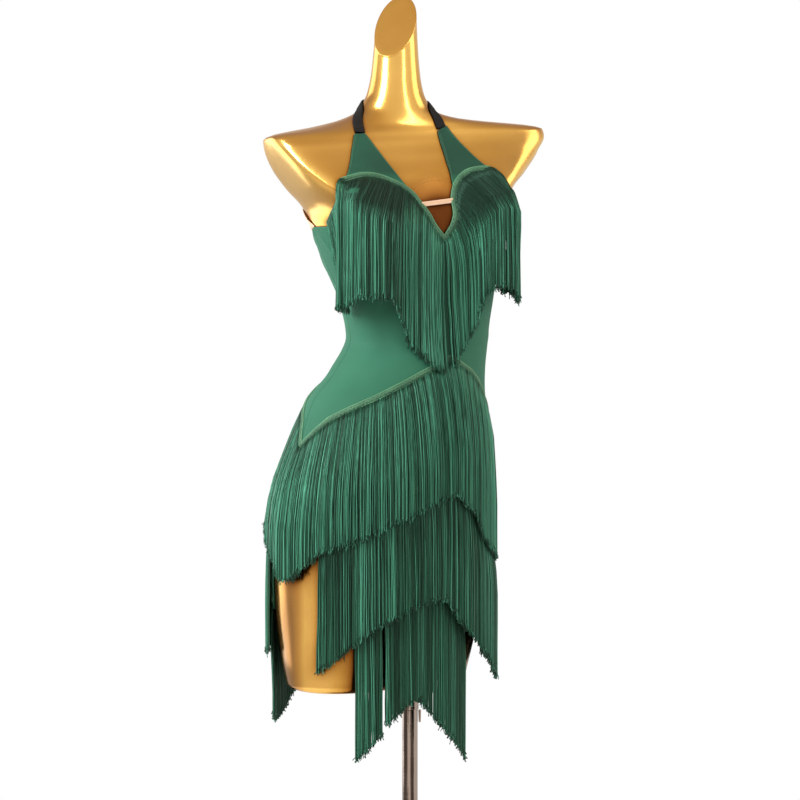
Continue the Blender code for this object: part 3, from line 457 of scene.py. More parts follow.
class Nodes:
    """The nodes of a new material or world, made by short calls."""

    def __init__(self, data):
        data.use_nodes = True
        self.data, self.tree = data, data.node_tree

    def add(self, kind, inputs=(), **settings):
        node = self.tree.nodes.new(kind)
        for key, value in settings.items():
            setattr(node, key, value)
        for key, value in dict(inputs).items():
            self.put(node.inputs[key], value)
        return node

    def put(self, socket, value):
        """Links an output to a socket, or sets the socket's own value."""
        if isinstance(value, bpy.types.NodeSocket):
            self.tree.links.new(value, socket)
        else:
            socket.default_value = value

    def shader(self, **values):
        """Fills the shader's sockets. What is the same all over is set on the socket itself."""
        sockets = self.tree.nodes["Principled BSDF"].inputs
        for key, value in values.items():
            colour = isinstance(value, tuple) and len(value) == 3
            self.put(sockets[key.replace("_", " ")], (*value, 1.0) if colour else value)
        return self.data

    def place(self, scale=(1.0, 1.0, 1.0), kind="Object"):
        at = self.add("ShaderNodeTexCoord").outputs[kind]
        return self.add("ShaderNodeMapping", {"Vector": at, "Scale": scale}).outputs["Vector"]

    def noise(self, vector, scale, detail=2.0, roughness=0.5):
        inputs = {"Vector": vector, "Scale": scale, "Detail": detail, "Roughness": roughness}
        return self.add("ShaderNodeTexNoise", inputs).outputs["Fac"]

    def wave(self, vector, scale, direction, distortion=0.0, detail=2.0, detail_scale=1.0):
        inputs = {
            "Vector": vector, "Scale": scale, "Distortion": distortion, "Detail": detail,
            "Detail Scale": detail_scale,
        }
        node = self.add("ShaderNodeTexWave", inputs, wave_type="BANDS", bands_direction=direction)
        return node.outputs["Fac"]

    def attribute(self, name):
        return self.add("ShaderNodeAttribute", attribute_name=name).outputs["Fac"]

    def range(self, value, from_low, from_high, low=0.0, high=1.0):
        inputs = {"Value": value, "From Min": from_low, "From Max": from_high, "To Min": low, "To Max": high}
        return self.add("ShaderNodeMapRange", inputs).outputs["Result"]

    def spread(self, noise, low, high):
        """The usual range of a noise, brought between low and high."""
        return self.range(noise, 0.3, 0.7, low, high)

    def ramp(self, value, stops):
        """The colour at a value between stops of (position, colour)."""
        node = self.add("ShaderNodeValToRGB", {"Fac": value})
        elements = node.color_ramp.elements
        while len(elements) < len(stops):
            elements.new(0.5)
        for element, (position, colour) in zip(elements, stops):
            element.position, element.color = position, (*colour, 1.0)
        return node.outputs["Color"]

    def maths(self, operation, first, second):
        return self.add("ShaderNodeMath", {0: first, 1: second}, operation=operation).outputs[0]

    def times(self, first, second):
        return self.maths("MULTIPLY", first, second)

    def sum(self, first, second, share=1.0):
        return self.maths("ADD", first, self.times(second, share))

    def mixed(self, kind, share, first, second):
        inputs = {"Factor": share, 6: first, 7: second}
        return self.add("ShaderNodeMix", inputs, data_type="RGBA", blend_type=kind).outputs[2]

    def distance(self, place, centre, reach):
        """How far the place is from the centre, as a share of the reach."""
        node = self.add("ShaderNodeVectorMath", {0: place, 1: centre}, operation="DISTANCE")
        return self.range(node.outputs["Value"], 0.0, reach)

    def bump(self, height, distance, strength):
        inputs = {"Height": height, "Distance": distance, "Strength": strength}
        return self.add("ShaderNodeBump", inputs).outputs["Normal"]


def new_material(name):
    return Nodes(bpy.data.materials.new(name))


def gold_lacquer():
    """Metallic gold lacquer, glossy, with a faint flow in its surface, fine scuffs and painted shade."""
    nodes = new_material("gold_lacquer")
    at = nodes.place()
    upright = nodes.place((1.0, 1.0, THIGH_SQUEEZE))
    flow = nodes.noise(at, 14.0, 2.0)
    fine_grain = nodes.noise(at, 900.0, 1.0)
    scuffs = nodes.noise(nodes.place((30.0, 30.0, 4.0)), 9.0, 6.0, 0.7)
    colour = nodes.ramp(flow, ((0.3, (0.83, 0.49, 0.12)), (0.7, (0.89, 0.54, 0.145))))
    # Painted shade and painted reflection: narrow places, the hollow between the cups and two strips of
    # the thigh are darkened, for the dark inside of the dress that the gold mirrors there.
    narrow_shade = nodes.add("ShaderNodeAmbientOcclusion", {"Distance": 0.085}, samples=8).outputs["AO"]
    away = nodes.distance(at, HOLLOW, HOLLOW_REACH)
    inner = nodes.distance(upright, THIGH_INNER, THIGH_INNER_REACH)
    outer = nodes.distance(upright, THIGH_OUTER, THIGH_OUTER_REACH)
    for share, tones in zip((narrow_shade, away, inner, outer), GOLD_PAINTED_SHADES):
        colour = nodes.mixed("MULTIPLY", 1.0, colour, nodes.ramp(share, tones))
    polish = nodes.range(scuffs, 0.35, 0.75, 0.17, 0.25)
    dull = nodes.range(away, 0.2, 0.62, 0.6, 0.05)
    return nodes.shader(
        Base_Color=colour, Metallic=0.96, Roughness=nodes.maths("MAXIMUM", polish, dull),
        Normal=nodes.bump(nodes.sum(flow, fine_grain, 0.012), 0.0012, 0.5),
    )


def jersey():
    """Matt stretch jersey: fine knitted wales, a soft nap, slight unevenness of colour, painted shade on the
    halters.
    """
    nodes = new_material("green_jersey")
    at = nodes.place(kind="UV")
    loops = nodes.times(nodes.wave(at, 520.0, "X", 0.6, 1.0), nodes.wave(at, 400.0, "Y", 0.8, 1.0))
    patches = nodes.noise(nodes.place(), 7.0, 3.0)
    fuzz = nodes.noise(nodes.place(), 1400.0, 2.0)
    above = nodes.add("ShaderNodeSeparateXYZ", {"Vector": nodes.place()}).outputs["Z"]
    # Painted shade: the cloth above the bust, on the halters, is darkened, as the halters face the darker
    # ceiling.
    halters = nodes.range(above, 1.325, 1.345, 0.0, -0.62)
    tone = nodes.sum(nodes.sum(nodes.sum(patches, loops, 0.35), fuzz, 0.25), halters)
    colour = nodes.ramp(tone, (
        (0.0, (0.0042, 0.04, 0.023)), (0.3, (0.0125, 0.1, 0.056)), (1.0, (0.025, 0.156, 0.09)),
    ))
    return nodes.shader(
        Base_Color=colour, Roughness=nodes.spread(fuzz, 0.62, 0.78),
        Normal=nodes.bump(nodes.sum(loops, fuzz, 0.4), 0.00022, 0.5), Specular_IOR_Level=0.35,
        Sheen_Weight=0.35, Sheen_Roughness=0.35, Sheen_Tint=(0.3, 0.75, 0.55),
    )


def fringe_thread():
    """Twisted rayon: each strand has its own tone, its plies show as fine flecks, its end is lighter."""
    nodes = new_material("green_fringe")
    streaks = nodes.spread(nodes.noise(nodes.place((420.0, 420.0, 7.0)), 1.0), -0.14, 0.14)
    twist = nodes.wave(nodes.place(), 190.0, "DIAGONAL", 2.5, 1.0, 1.5)
    ends = nodes.range(nodes.attribute("share"), TIP_FROM, 1.0, 0.0, 0.1)
    tone = nodes.sum(nodes.attribute("tone"), streaks)
    tone = nodes.sum(nodes.sum(tone, nodes.range(twist, 0.0, 1.0, -0.5, 0.5), 0.2), ends)
    colour = nodes.ramp(tone, (
        (0.05, (0.0035, 0.0095, 0.007)), (0.36, (0.011, 0.038, 0.023)),
        (0.66, (0.023, 0.105, 0.062)), (1.0, (0.085, 0.34, 0.225)),
    ))
    return nodes.shader(
        Base_Color=colour, Roughness=nodes.range(streaks, -0.14, 0.14, 0.3, 0.44),
        Normal=nodes.bump(twist, 0.00018, 0.6), Specular_IOR_Level=0.6, Specular_Tint=(0.45, 1.0, 0.72),
        Sheen_Weight=0.1, Sheen_Roughness=0.4, Sheen_Tint=(0.3, 0.85, 0.55),
    )


def braid_thread():
    """The brighter gimp braid at the head of the fringe, and the sewing thread."""
    nodes = new_material("green_braid")
    fibres = nodes.noise(nodes.place((1.0, 1.0, 2.0)), 1700.0, 2.0)
    patches = nodes.noise(nodes.place(), 60.0, 2.0)
    spread = nodes.sum(nodes.spread(fibres, -0.2, 0.2), nodes.spread(patches, -0.1, 0.1))
    colour = nodes.ramp(nodes.sum(nodes.attribute("tone"), spread), (
        (0.1, (0.005, 0.03, 0.016)), (0.55, (0.032, 0.125, 0.064)), (1.0, (0.13, 0.34, 0.18)),
    ))
    return nodes.shader(
        Base_Color=colour, Roughness=nodes.spread(fibres, 0.38, 0.55),
        Normal=nodes.bump(fibres, 0.00012, 0.6), Specular_IOR_Level=0.5,
        Sheen_Weight=0.25, Sheen_Tint=(0.45, 0.9, 0.65),
    )


def elastic(name, dark, light, ribs, sheen, gloss):
    """Woven elastic with ribs along its length."""
    nodes = new_material(name)
    at = nodes.place(kind="UV")
    rib, pick = nodes.wave(at, ribs, "Y"), nodes.wave(at, 330.0, "X", 0.5)
    fuzz = nodes.noise(nodes.place(), 1500.0, 2.0)
    tone = nodes.sum(nodes.sum(rib, pick, 0.5), fuzz, 0.4)
    return nodes.shader(
        Base_Color=nodes.ramp(tone, ((0.3, dark), (1.4, light))),
        Roughness=nodes.spread(fuzz, 0.55, 0.75), Specular_IOR_Level=gloss,
        Normal=nodes.bump(nodes.sum(rib, pick, 0.6), 0.00025, 0.7), Sheen_Weight=sheen, Sheen_Roughness=0.4,
    )


def brushed_steel():
    """Drawn steel tube brushed along its length, with faint rings where it slides in its collar, and painted
    reflection streaks.
    """
    nodes = new_material("brushed_steel")
    grain = nodes.noise(nodes.place((900.0, 900.0, 12.0)), 1.0, 3.0, 0.6)
    rings = nodes.noise(nodes.place((3.0, 3.0, 260.0)), 1.0, 2.0)
    smudges = nodes.noise(nodes.place(), 22.0, 3.0)
    # Painted reflection: broad upright bands of light and dark stand in for the studio mirrored in the tube.
    painted_streaks = nodes.noise(nodes.place((105.0, 105.0, 0.5)), 1.0, 1.0)
    tone = nodes.sum(nodes.sum(grain, rings, 0.25), smudges, 0.5)
    colour = nodes.ramp(nodes.sum(nodes.times(tone, 0.4), painted_streaks, 1.4), (
        (0.84, (0.07, 0.052, 0.044)), (1.05, (0.2, 0.16, 0.14)), (1.26, (0.48, 0.4, 0.35)),
    ))
    return nodes.shader(
        Base_Color=colour, Metallic=1.0, Roughness=nodes.range(tone, 0.5, 1.2, 0.13, 0.24),
        Normal=nodes.bump(grain, 0.00006, 0.4),
    )


def black_steel():
    """Satin black powder coat, with its fine grain and a worn, brighter rim."""
    nodes = new_material("black_steel")
    grain = nodes.noise(nodes.place(), 700.0, 3.0, 0.6)
    dust = nodes.noise(nodes.place(), 18.0, 4.0)
    edges = nodes.add("ShaderNodeNewGeometry").outputs["Pointiness"]
    tone = nodes.sum(nodes.sum(dust, grain, 0.3), nodes.range(edges, 0.53, 0.62, 0.0, 0.5))
    return nodes.shader(
        Base_Color=nodes.ramp(tone, ((0.4, (0.018, 0.018, 0.019)), (1.2, (0.055, 0.054, 0.052)))),
        Roughness=nodes.spread(dust, 0.38, 0.56), Normal=nodes.bump(grain, 0.00012, 0.5),
        Metallic=0.25, Coat_Weight=0.2, Coat_Roughness=0.35,
    )


# ---------------------------------------------------------------- the dress form


def eased(depth, rounding):
    """A signed depth beyond a plane, cut off at the plane with a soft turn."""
    return -rounding * np.logaddexp(0, -depth / rounding)


def cut_arms(points):
    """Moves what lies beyond each arm's plane level with it, along X."""
    for side, shoulder_x, shoulder_height, armpit_x, armpit_height, turn, depth, rounding in ARM_CUTS:
        lean = math.atan2(shoulder_x - armpit_x, shoulder_height - armpit_height)
        turn = math.radians(turn)
        normal = np.array([side * math.cos(turn), -math.sin(turn), -side * math.tan(lean)]) * math.cos(lean)
        beyond = (points - np.array([armpit_x, depth, armpit_height])) @ normal
        moved = (beyond - eased(beyond, rounding)) / normal[0]
        points[..., 0] -= moved * smooth_step((points[..., 2] - ARM_CUT_FROM) / ARM_CUT_RISE)
    return points


def ring_cap(ring, rounding, normal, turns=6, rings=7):
    """Rings that turn over a rim by its rounding and close on its middle. The last is almost a point."""
    inward = ring.mean(axis=0) - ring
    inward = unit(inward - (inward @ normal)[:, None] * normal)
    made = []
    for turn in np.linspace(0, math.pi / 2, turns + 1)[1:]:
        made.append(ring + inward * rounding * (1 - math.cos(turn)) + normal * rounding * math.sin(turn))
    last = made[-1]
    for share in (np.arange(1, rings + 1) / rings) ** 0.8:
        made.append(last + (last.mean(axis=0) - last) * min(share, 0.999))
    return made


def form_grid():
    """The form's angles and levels, closer together at its sides and over its shoulders."""
    sides = np.arange(60, 120.1, 1.0)
    front, back = np.arange(-60, 61, 2.5), np.arange(120, 241, 3.0)
    angles = np.unique(np.round(np.concatenate([front, sides, back, sides + 180]), 3) % 360)
    # From, to, and the step between two levels.
    parts = (
        (FOOT + FOOT_ROUNDING, CHEST_FROM, 0.0085), (CHEST_FROM, NECK_FROM, 0.0032),
        (NECK_FROM, NECK_ABOVE, 0.005),
    )
    return angles, np.unique(np.concatenate([np.arange(*part) for part in parts]))


def make_form(gold):
    angles, levels = form_grid()
    facing = math.radians(NECK_CUT_FACING)
    forward = np.array([math.sin(facing), -math.cos(facing), 0.0])
    normal = unit(np.array([0.0, 0.0, 1.0]) + NECK_CUT_SLOPE * forward)
    # Each column of the neck ends at the cut, whose highest point is the CAD form's top. Where it
    # ends moves with its height, so that is found by repetition.
    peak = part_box("dress_form")[1].z
    highest = peak + NECK_CUT_SLOPE * (skin(angles, peak) @ forward).min()
    ends = np.full(len(angles), peak)
    for _ in range(40):
        ends = highest - NECK_CUT_SLOPE * (skin(angles, ends) @ forward) - NECK_CUT_ROUNDING
    up_neck = np.clip((levels[:, None] - NECK_FROM) / (levels[-1] - NECK_FROM), 0, 1)
    heights = np.minimum(levels[:, None], NECK_FROM) + up_neck * (ends - NECK_FROM)
    rings = cut_arms(skin(angles[None], heights, cleft=True))
    top = ring_cap(rings[-1], NECK_CUT_ROUNDING, normal)
    bottom = ring_cap(rings[0], FOOT_ROUNDING, np.array([0.0, 0.0, -1.0]))
    rings = np.concatenate([bottom[::-1], rings, top])
    faces = capped_grid(*rings.shape[:2])
    form = mesh_piece("form_torso", rings.reshape(-1, 3), faces, gold)
    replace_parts(form, "dress_form")


# ---------------------------------------------------------------- cloth


def crease_rise(angle, height):
    """How far the creases lift the cloth at each place."""
    rise = np.zeros(np.shape(angle))
    per_degree = math.radians(1) * CREASE_RADIUS
    for angle_1, height_1, angle_2, height_2, half_width, amount in CREASES:
        run = np.array([turned(angle_2 - angle_1) * per_degree, height_2 - height_1])
        here = np.stack([turned(angle - angle_1) * per_degree, height - height_1], axis=-1)
        share = np.clip(here @ run / (run @ run), 0, 1)
        away = np.linalg.norm(here - share[..., None] * run, axis=-1)
        taper = np.sin(np.pi * np.clip(0.12 + 0.76 * share, 0, 1)) ** 0.7
        rise += amount * taper * np.exp(-((away / half_width) ** 2))
    return rise


def shell(name, angles, heights, edge_away, hem, material, lift=0.0):
    """Cloth over a grid of angles and heights. edge_away is each point's distance to the nearest free
    edge or seam, and hem says whether that is a turned hem (above 0) or a seam (below 0)."""
    folded = np.where(hem > 0, HEM_THICK * (1 - smooth_step((edge_away - HEM_DEEP) / 0.001)), 0.0)
    rounding = EDGE_ROUNDING * (1 - smooth_step(edge_away / 0.0012))
    puff = np.where(hem > 0, STITCH_DIP * np.exp(-(((edge_away - 0.003) / 0.0007) ** 2)), 0.0)
    outer = CLOTH_OUTSIDE + lift + folded - rounding - puff + crease_rise(angles, heights)
    layers = [surface(angles, heights, out) for out in (outer, np.full(angles.shape, CLOTH_INSIDE + lift))]
    rows, columns = angles.shape
    size = rows * columns
    index = np.arange(size).reshape(rows, columns)
    front = grid_faces(rows, columns)
    rim = np.concatenate([index[0], index[1:, -1], index[-1, -2::-1], index[-2::-1, 0]])
    edge = np.stack([rim[1:], rim[:-1], rim[:-1] + size, rim[1:] + size], axis=-1)
    faces = [front, front[:, ::-1] + size, edge]
    metres = np.stack([np.radians(angles) * MAP_RADIUS, heights], axis=-1).reshape(-1, 2)
    points = np.reshape(layers, (-1, 3))
    return mesh_piece(name, points, faces, material, uv=at_corners(metres, faces))


def panel(name, angles, low, high, rows, low_is_hem, high_is_hem, material, sides):
    """A panel between two lines of heights. sides says what its two side edges are: 1 for a hem."""
    ends = np.array([0, 0.004, 0.012, 0.024])
    share = np.concatenate([ends, np.linspace(0.04, 0.96, rows), 1 - ends[::-1]])
    heights = low + (high - low) * share[:, None]
    grid = np.broadcast_to(angles, heights.shape)
    to_side = np.minimum(grid - angles[0], angles[-1] - grid) * math.radians(1) * SIDE_RADIUS
    to_low, to_high = heights - low, high - heights
    away = np.minimum(np.minimum(to_low, to_high), to_side)
    kinds = np.where(to_side <= away, sides, np.where(to_low <= to_high, low_is_hem, high_is_hem))
    return shell(name, grid, heights, away, np.where(kinds > 0, 1, -1), material)


def fine(angles, step):
    """Angles between the first and last of a list, closer together at its ends, its corners kept."""
    low, high = min(angles), max(angles)
    near = np.array([0.3, 0.7, 1.2, 1.9, 2.6])
    return np.unique(np.concatenate([np.arange(low, high, step), angles, low + near, high - near]))


def make_bodice(green):
    seam = SIDE_SEAM - SEAM_GAP
    right = [seam, UNDERARM_ANGLE, 35, 20, 13.5, 10, 8, 6]
    angles = fine([0, *right, *(-angle for angle in right)], 2.0)
    top = np.where(np.abs(angles) > UNDERARM_ANGLE, UNDERARM_HEIGHT, line(BUST_LINE, angles))
    front = panel("bodice_front", angles, line(HIP_LINE, angles), top - 0.0002, 100, False, True, green, -1)
    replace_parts(front, "front_bodice")
    angles = fine([SIDE_SEAM + SEAM_GAP, 360 - SIDE_SEAM - SEAM_GAP], 2.0)
    bottom = line(HIP_LINE_BACK, angles - 180)
    neck = monotone(*np.array(BACK_NECK).T, angles - 180)
    back = panel("bodice_back", angles, bottom, neck, 80, False, True, green, -1)
    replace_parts(back, "back_bodice")
    return front, back


def angle_at(x, height):
    """The angle, in front, of the skin's point at an x and a height."""
    angles = np.arange(-90, 91, 1.0)
    found = [np.interp(a, skin(angles, b)[:, 0], angles) for a, b in zip(x.flat, height.flat)]
    return np.array(found).reshape(x.shape)


def halter_grid(way, corners, across, up):
    """Angles and heights of a halter's triangle, at shares across it and up it."""
    low = np.array(HALTER_FEET[way > 0])
    foot = low[0] + (low[1] - low[0]) * across
    start = line(BUST_LINE, foot) - 0.0008
    tops = np.array(HALTER_TOPS[way > 0])
    ends = skin(np.array(corners), tops)[:, 0]
    feet = skin(low, line(BUST_LINE, low))[:, 0]
    heights = start + (tops[0] + (tops[1] - tops[0]) * across - start) * up
    to_x = ends[0] + (ends[1] - ends[0]) * across
    from_x = skin(foot, start)[..., 0]
    # The triangle's sides bow slightly inwards, as a tight halter's do.
    bow = 1 - HALTER_BOW * np.sin(np.pi * up) * np.abs(2 * across - 1)
    middle = (feet[0] + (feet[1] - feet[0]) / 2) * (1 - up) + ends.mean() * up
    x = from_x + (to_x - from_x) * up
    return angle_at(middle + (x - middle) * bow, heights), heights


def make_halters(green, thread):
    """The two halters, each with a row of stitches along both its hems."""
    cloths = []
    ends = np.array([0, 0.01, 0.025, 0.05, 0.08])
    shares = np.concatenate([ends, np.linspace(0.11, 0.89, HALTER_COLUMNS), 1 - ends[::-1]])
    for way, side, corners in zip((-1, 1), ("right", "left"), HALTER_CORNERS):
        across, up = np.meshgrid(shares, np.linspace(0, 1, HALTER_ROWS))
        angles, heights = halter_grid(way, corners, across, up)
        places = skin(angles, heights)
        widths = np.linalg.norm(places[:, -1] - places[:, 0], axis=-1)[:, None]
        away = np.minimum(across, 1 - across) * widths
        cloth = shell(f"halter_{side}_cloth", angles, heights, away, np.ones(away.shape), green, 0.0002)
        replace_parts(cloth, f"halter_{side}")
        cloths.append(cloth)
        for edge in (0, 1):
            up_edge = np.linspace(0.03, 0.97, 60)
            inset = STITCH_INSET / np.interp(up_edge, up[:, 0], widths[:, 0])
            on_edge = halter_grid(way, corners, np.abs(edge - inset), up_edge)
            path = surface(*on_edge, np.full(len(up_edge), CLOTH_OUTSIDE + STITCH_LIFT))
            stitches(f"halter_{side}_stitching_{edge}", path, thread)
    return cloths


def stitches(name, path, material):
    """A row of sewn stitches along a path, each a short thread that dips in at both ends."""
    distance = lengths(path)
    starts = np.arange(STITCH_PITCH / 2, distance[-1] - STITCH_PITCH, STITCH_PITCH)
    shares = np.linspace(0, 1, 5)
    at = starts[:, None] + shares * STITCH_LENGTH
    paths = np.stack([np.interp(at, distance, path[:, k]) for k in range(3)], axis=-1)
    away = unit(paths * np.array([1, 1, 0]))
    paths = paths + away * (STITCH_RADIUS * (np.sin(np.pi * shares) - 0.6))[None, :, None]
    radii = STITCH_RADIUS * np.array([0.5, 1.0, 1.1, 1.0, 0.5])
    points, faces = tubes(paths, radii[None], 6)
    piece = mesh_piece(name, points, faces, material)
    give_values(piece, "tone", np.full(len(points), 0.8))


def make_skirt(green):
    angles = fine([-APRON_EDGE, -52.5, -50, -12, 0, 30, 32.5, APRON_EDGE], 1.8)
    low, high = line(APRON_HEM, angles), line(HIP_LINE, angles)
    apron = panel("skirt_front", angles, low, high - 0.0004, 60, True, False, green, 1)
    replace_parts(apron, "front_skirt")
    angles = fine([180 - TAIL_EDGE, 108, 180, 252, 180 + TAIL_EDGE], 1.8)
    low, high = line(TAIL_HEM, angles - 180), line(HIP_LINE_BACK, angles - 180)
    tail = panel("skirt_back", angles, low, high - 0.0004, 60, True, False, green, 1)
    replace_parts(tail, "back_skirt")
    return apron, tail


# ---------------------------------------------------------------- elastics


def smoothed(values, reach):
    """Rows of values, each a soft average of its neighbours; the first and last stay."""
    kernel = np.exp(-np.linspace(-2, 2, 2 * reach + 1) ** 2)
    kernel /= kernel.sum()
    ends = [2 * values[:1] - values[reach:0:-1], values, 2 * values[-1:] - values[-2:-reach - 2:-1]]
    padded = np.concatenate(ends)
    return np.stack([np.convolve(column, kernel, mode="valid") for column in padded.T], axis=1)


def on_band(angles, heights, lift, taut):
    """The middle of a band's inner face along a line on the figure, and the directions out of it. A
    taut band spans the hollows that it crosses."""
    normal = normals(angles, heights)
    on_skin = cut_arms(skin(angles, heights)) + normal * lift
    if not taut:
        return on_skin, normal
    centre = on_skin
    for _ in range(6):
        centre = smoothed(centre, taut)
        inside = ((centre - on_skin) * normal).sum(axis=-1)
        centre = centre - normal * np.minimum(inside, 0)[:, None]
    return centre, unit(smoothed(normal, taut))


def band(name, angles, heights, width, lift, thick, material, ribs=0, taut=0):
    """An elastic band along a line on the figure, its edges rounded. ribs is how many cords run in it."""
    centre, normal = on_band(angles, heights, lift, taut)
    across = unit(np.cross(normal, np.gradient(centre, axis=0)))
    shares = np.sin(np.linspace(-math.pi / 2, math.pi / 2, BAND_POINTS))
    crown = thick * np.sqrt(np.clip(1 - shares ** 6, 0, 1))
    if ribs:
        groove = 0.5 + 0.5 * np.cos(2 * math.pi * ribs * (shares + 1) / 2)
        crown = crown * (1 - 0.35 * groove * (np.abs(shares) < 0.9))
    under = centre[:, None] + across[:, None] * shares[None, :, None] * width / 2
    top = under + normal[:, None] * crown[None, :, None]
    loop = np.concatenate([top, under[:, ::-1][:, 1:-1]], axis=1)
    wide = np.concatenate([shares, shares[::-1][1:-1]]) * width / 2
    return strip_piece(name, loop, lengths(centre), wide, material)


def strip_piece(name, loop, long, wide, material):
    """A band from its rings of points, with a map in metres: long for the rings, wide within one."""
    faces = capped_grid(*loop.shape[:2])
    metres = np.stack(np.broadcast_arrays(long[:, None], wide[None]), axis=-1).reshape(-1, 2)
    uv = at_corners(metres, faces)
    return mesh_piece(name, loop.reshape(-1, 3), faces, material, uv=uv)


def make_bridge(nude):
    """The bridge, taut between the two braids with its ends under them, a groove along its middle."""
    rings, sides = 25, 28
    across = np.linspace(0, 1, rings)
    feet = surface(*np.array(BRIDGE_ENDS).T, np.full(2, BRAID_LIFT))
    centre = feet[0] + (feet[1] - feet[0]) * across[:, None]
    shares = np.linspace(0, 2 * math.pi, sides + 1)[:-1]
    wide = BRIDGE_HALF_WIDTH * np.cos(shares)
    groove = 0.55 * np.exp(-((wide / 0.0006) ** 2))
    thick = BRIDGE_THICK * np.sign(np.sin(shares)) * np.abs(np.sin(shares)) ** 0.4 * (1 - groove)
    loop = centre[:, None] + np.stack([np.zeros(sides), thick, wide], axis=-1)[None]
    bridge = strip_piece("bridge_band", loop, across * BRIDGE_LENGTH, wide, nude)
    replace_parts(bridge, "bridge_elastic")
    return bridge


def make_elastics(black, nude):
    strap = np.array(STRAP)
    angles = np.linspace(strap[0, 0], strap[-1, 0], 150)
    heights = monotone(-strap[:, 0], strap[:, 1], -angles)
    neck = band(
        "neck_elastic", angles, heights, STRAP_WIDTH, 0.0014, 0.0015, black, taut=7,
    )
    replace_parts(neck, "neck_strap")
    around = np.linspace(-86.0, 86.0, 94)
    heights = BACK_BAND_HEIGHT - BACK_BAND_SAG * (around / BACK_BAND_END) ** 2
    back = band(
        "back_elastic", around + 180, heights, BACK_BAND_WIDTH, 0.0008, 0.0011, nude, ribs=3,
    )
    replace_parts(back, "back_band")
    return back, make_bridge(nude)


# ---------------------------------------------------------------- fringe


class Fall:
    """How fringe hangs: a strand is held out by the widest part of the figure that it has passed, and
    below that hangs plumb."""

    step, turn = 0.005, 2.0  # between the measured levels and bearings

    def __init__(self, axis, low, high):
        self.axis, self.low = np.array(axis), low
        self.levels = np.arange(low, high, self.step)
        heights = np.arange(low - 0.02, high + 0.03, 0.006)
        grid = skin(*np.meshgrid(np.arange(-180, 180, self.turn), heights, indexing="ij"))
        self.reach = np.array([self.measured(grid, level) for level in self.levels])

    def measured(self, grid, level):
        """The figure's reach from the axis all round at one level."""
        ring = np.array([[np.interp(level, column[:, 2], column[:, k]) for k in (0, 1)] for column in grid])
        ring -= self.axis
        bearing = np.degrees(np.arctan2(ring[:, 0], -ring[:, 1]))
        order = np.argsort(bearing)
        return np.interp(
            np.arange(-180, 181, self.turn), bearing[order], np.hypot(*ring.T)[order], period=360,
        )

    def at(self, bearing, height):
        """The figure's reach from the axis at bearings and heights."""
        i = np.clip((height - self.low) / self.step, 0, len(self.levels) - 1.001)
        j = ((bearing + 180) % 360) / self.turn
        i0, j0 = i.astype(int), j.astype(int)
        u, v = i - i0, j - j0
        j1 = np.minimum(j0 + 1, self.reach.shape[1] - 1)
        below, above = (self.reach[k, j0] * (1 - v) + self.reach[k, j1] * v for k in (i0, i0 + 1))
        return below * (1 - u) + above * u


def rounded_line(table, at, reach=1.1):
    """The line's height with its corners eased, as a sewn braid turns them."""
    return sum(line(table, at + d) for d in (-reach, -reach / 2, 0, reach / 2, reach)) / 5


def row_line(row, at):
    """Angles and heights of a row's braid at places on its line."""
    return (at + 180 if row.back else at), rounded_line(row.line, at)


def dense_line(row, first, last):
    """Close places on a row's line, and how far along it each is."""
    dense = np.linspace(first, last, 3000)
    return dense, lengths(skin(*row_line(row, dense)))


def frames(row, at):
    """Centre, across (up the figure), outward and forward directions of a braid at places on its line."""
    places = row_line(row, at)
    centre, normal = skin(*places), normals(*places)
    steps = unit(np.gradient(centre, axis=0))
    return centre, np.cross(normal, steps), normal, steps


def make_braid(row, first, last, material):
    """A gimp braid: three plaited cords between two edge cords, over a thin tape."""
    dense, length = dense_line(row, first, last)
    count = max(8, int(length[-1] / PLAIT_PERIOD * PLAIT_POINTS))
    run = np.linspace(0, length[-1], count)
    centre, across, normal, _ = frames(row, np.interp(run, length, dense))
    plaits = [2 * math.pi * (run / PLAIT_PERIOD + k / 3) for k in range(3)]
    beat = 4 * math.pi * run / PLAIT_PERIOD
    # Each cord's places across the braid, and out from its tape.
    cords = [(0.0021 * np.sin(phase), 0.0008 + 0.00055 * np.cos(2 * phase)) for phase in plaits]
    cords += [(way * (0.0033 + 0.00015 * np.sin(beat)), 0.0004 + 0.0001 * np.cos(beat)) for way in (-1, 1)]
    paths = np.array([
        centre + across * aside[:, None] + normal * (BRAID_LIFT + out)[:, None] for aside, out in cords
    ])
    points, faces = tubes(paths, np.array(CORD_RADII)[:, None], CORD_SIDES)
    edges = ((-1, 0), (1, 0), (1, 1), (-1, 1))
    tape = np.stack([
        centre + across * way * TAPE_HALF_WIDTH + normal * (BRAID_LIFT - inner * TAPE_THICK)
        for way, inner in edges
    ], axis=1)
    faces += [part + len(points) for part in capped_grid(count, 4)]
    points = np.concatenate([points, tape.reshape(-1, 3)])
    piece = mesh_piece(f"{row.name}_braid", points, faces, material)
    tones = np.repeat(CORD_TONES, CORD_SIDES * count)
    give_values(piece, "tone", np.concatenate([tones, np.full(4 * count, TAPE_TONE)]))
    return piece


class Clumps:
    """The strands of a layer, gathered in clumps. Each draw takes the clumps' numbers, then the strands'."""

    def __init__(self, random, where, length, width):
        self.random = random
        self.widths = random.uniform(0.5, 1.5, int(length / width * 1.5) + 8) * width
        starts = np.cumsum(self.widths) - self.widths[0]
        self.own = np.clip(np.searchsorted(starts, where, side="right") - 1, 0, len(starts) - 1)
        self.middle = starts[self.own] + self.widths[self.own] / 2

    def normal(self, of_clump, of_strand):
        clumps = self.random.normal(0, of_clump, len(self.widths))[self.own]
        return clumps + self.random.normal(0, of_strand, len(self.own))


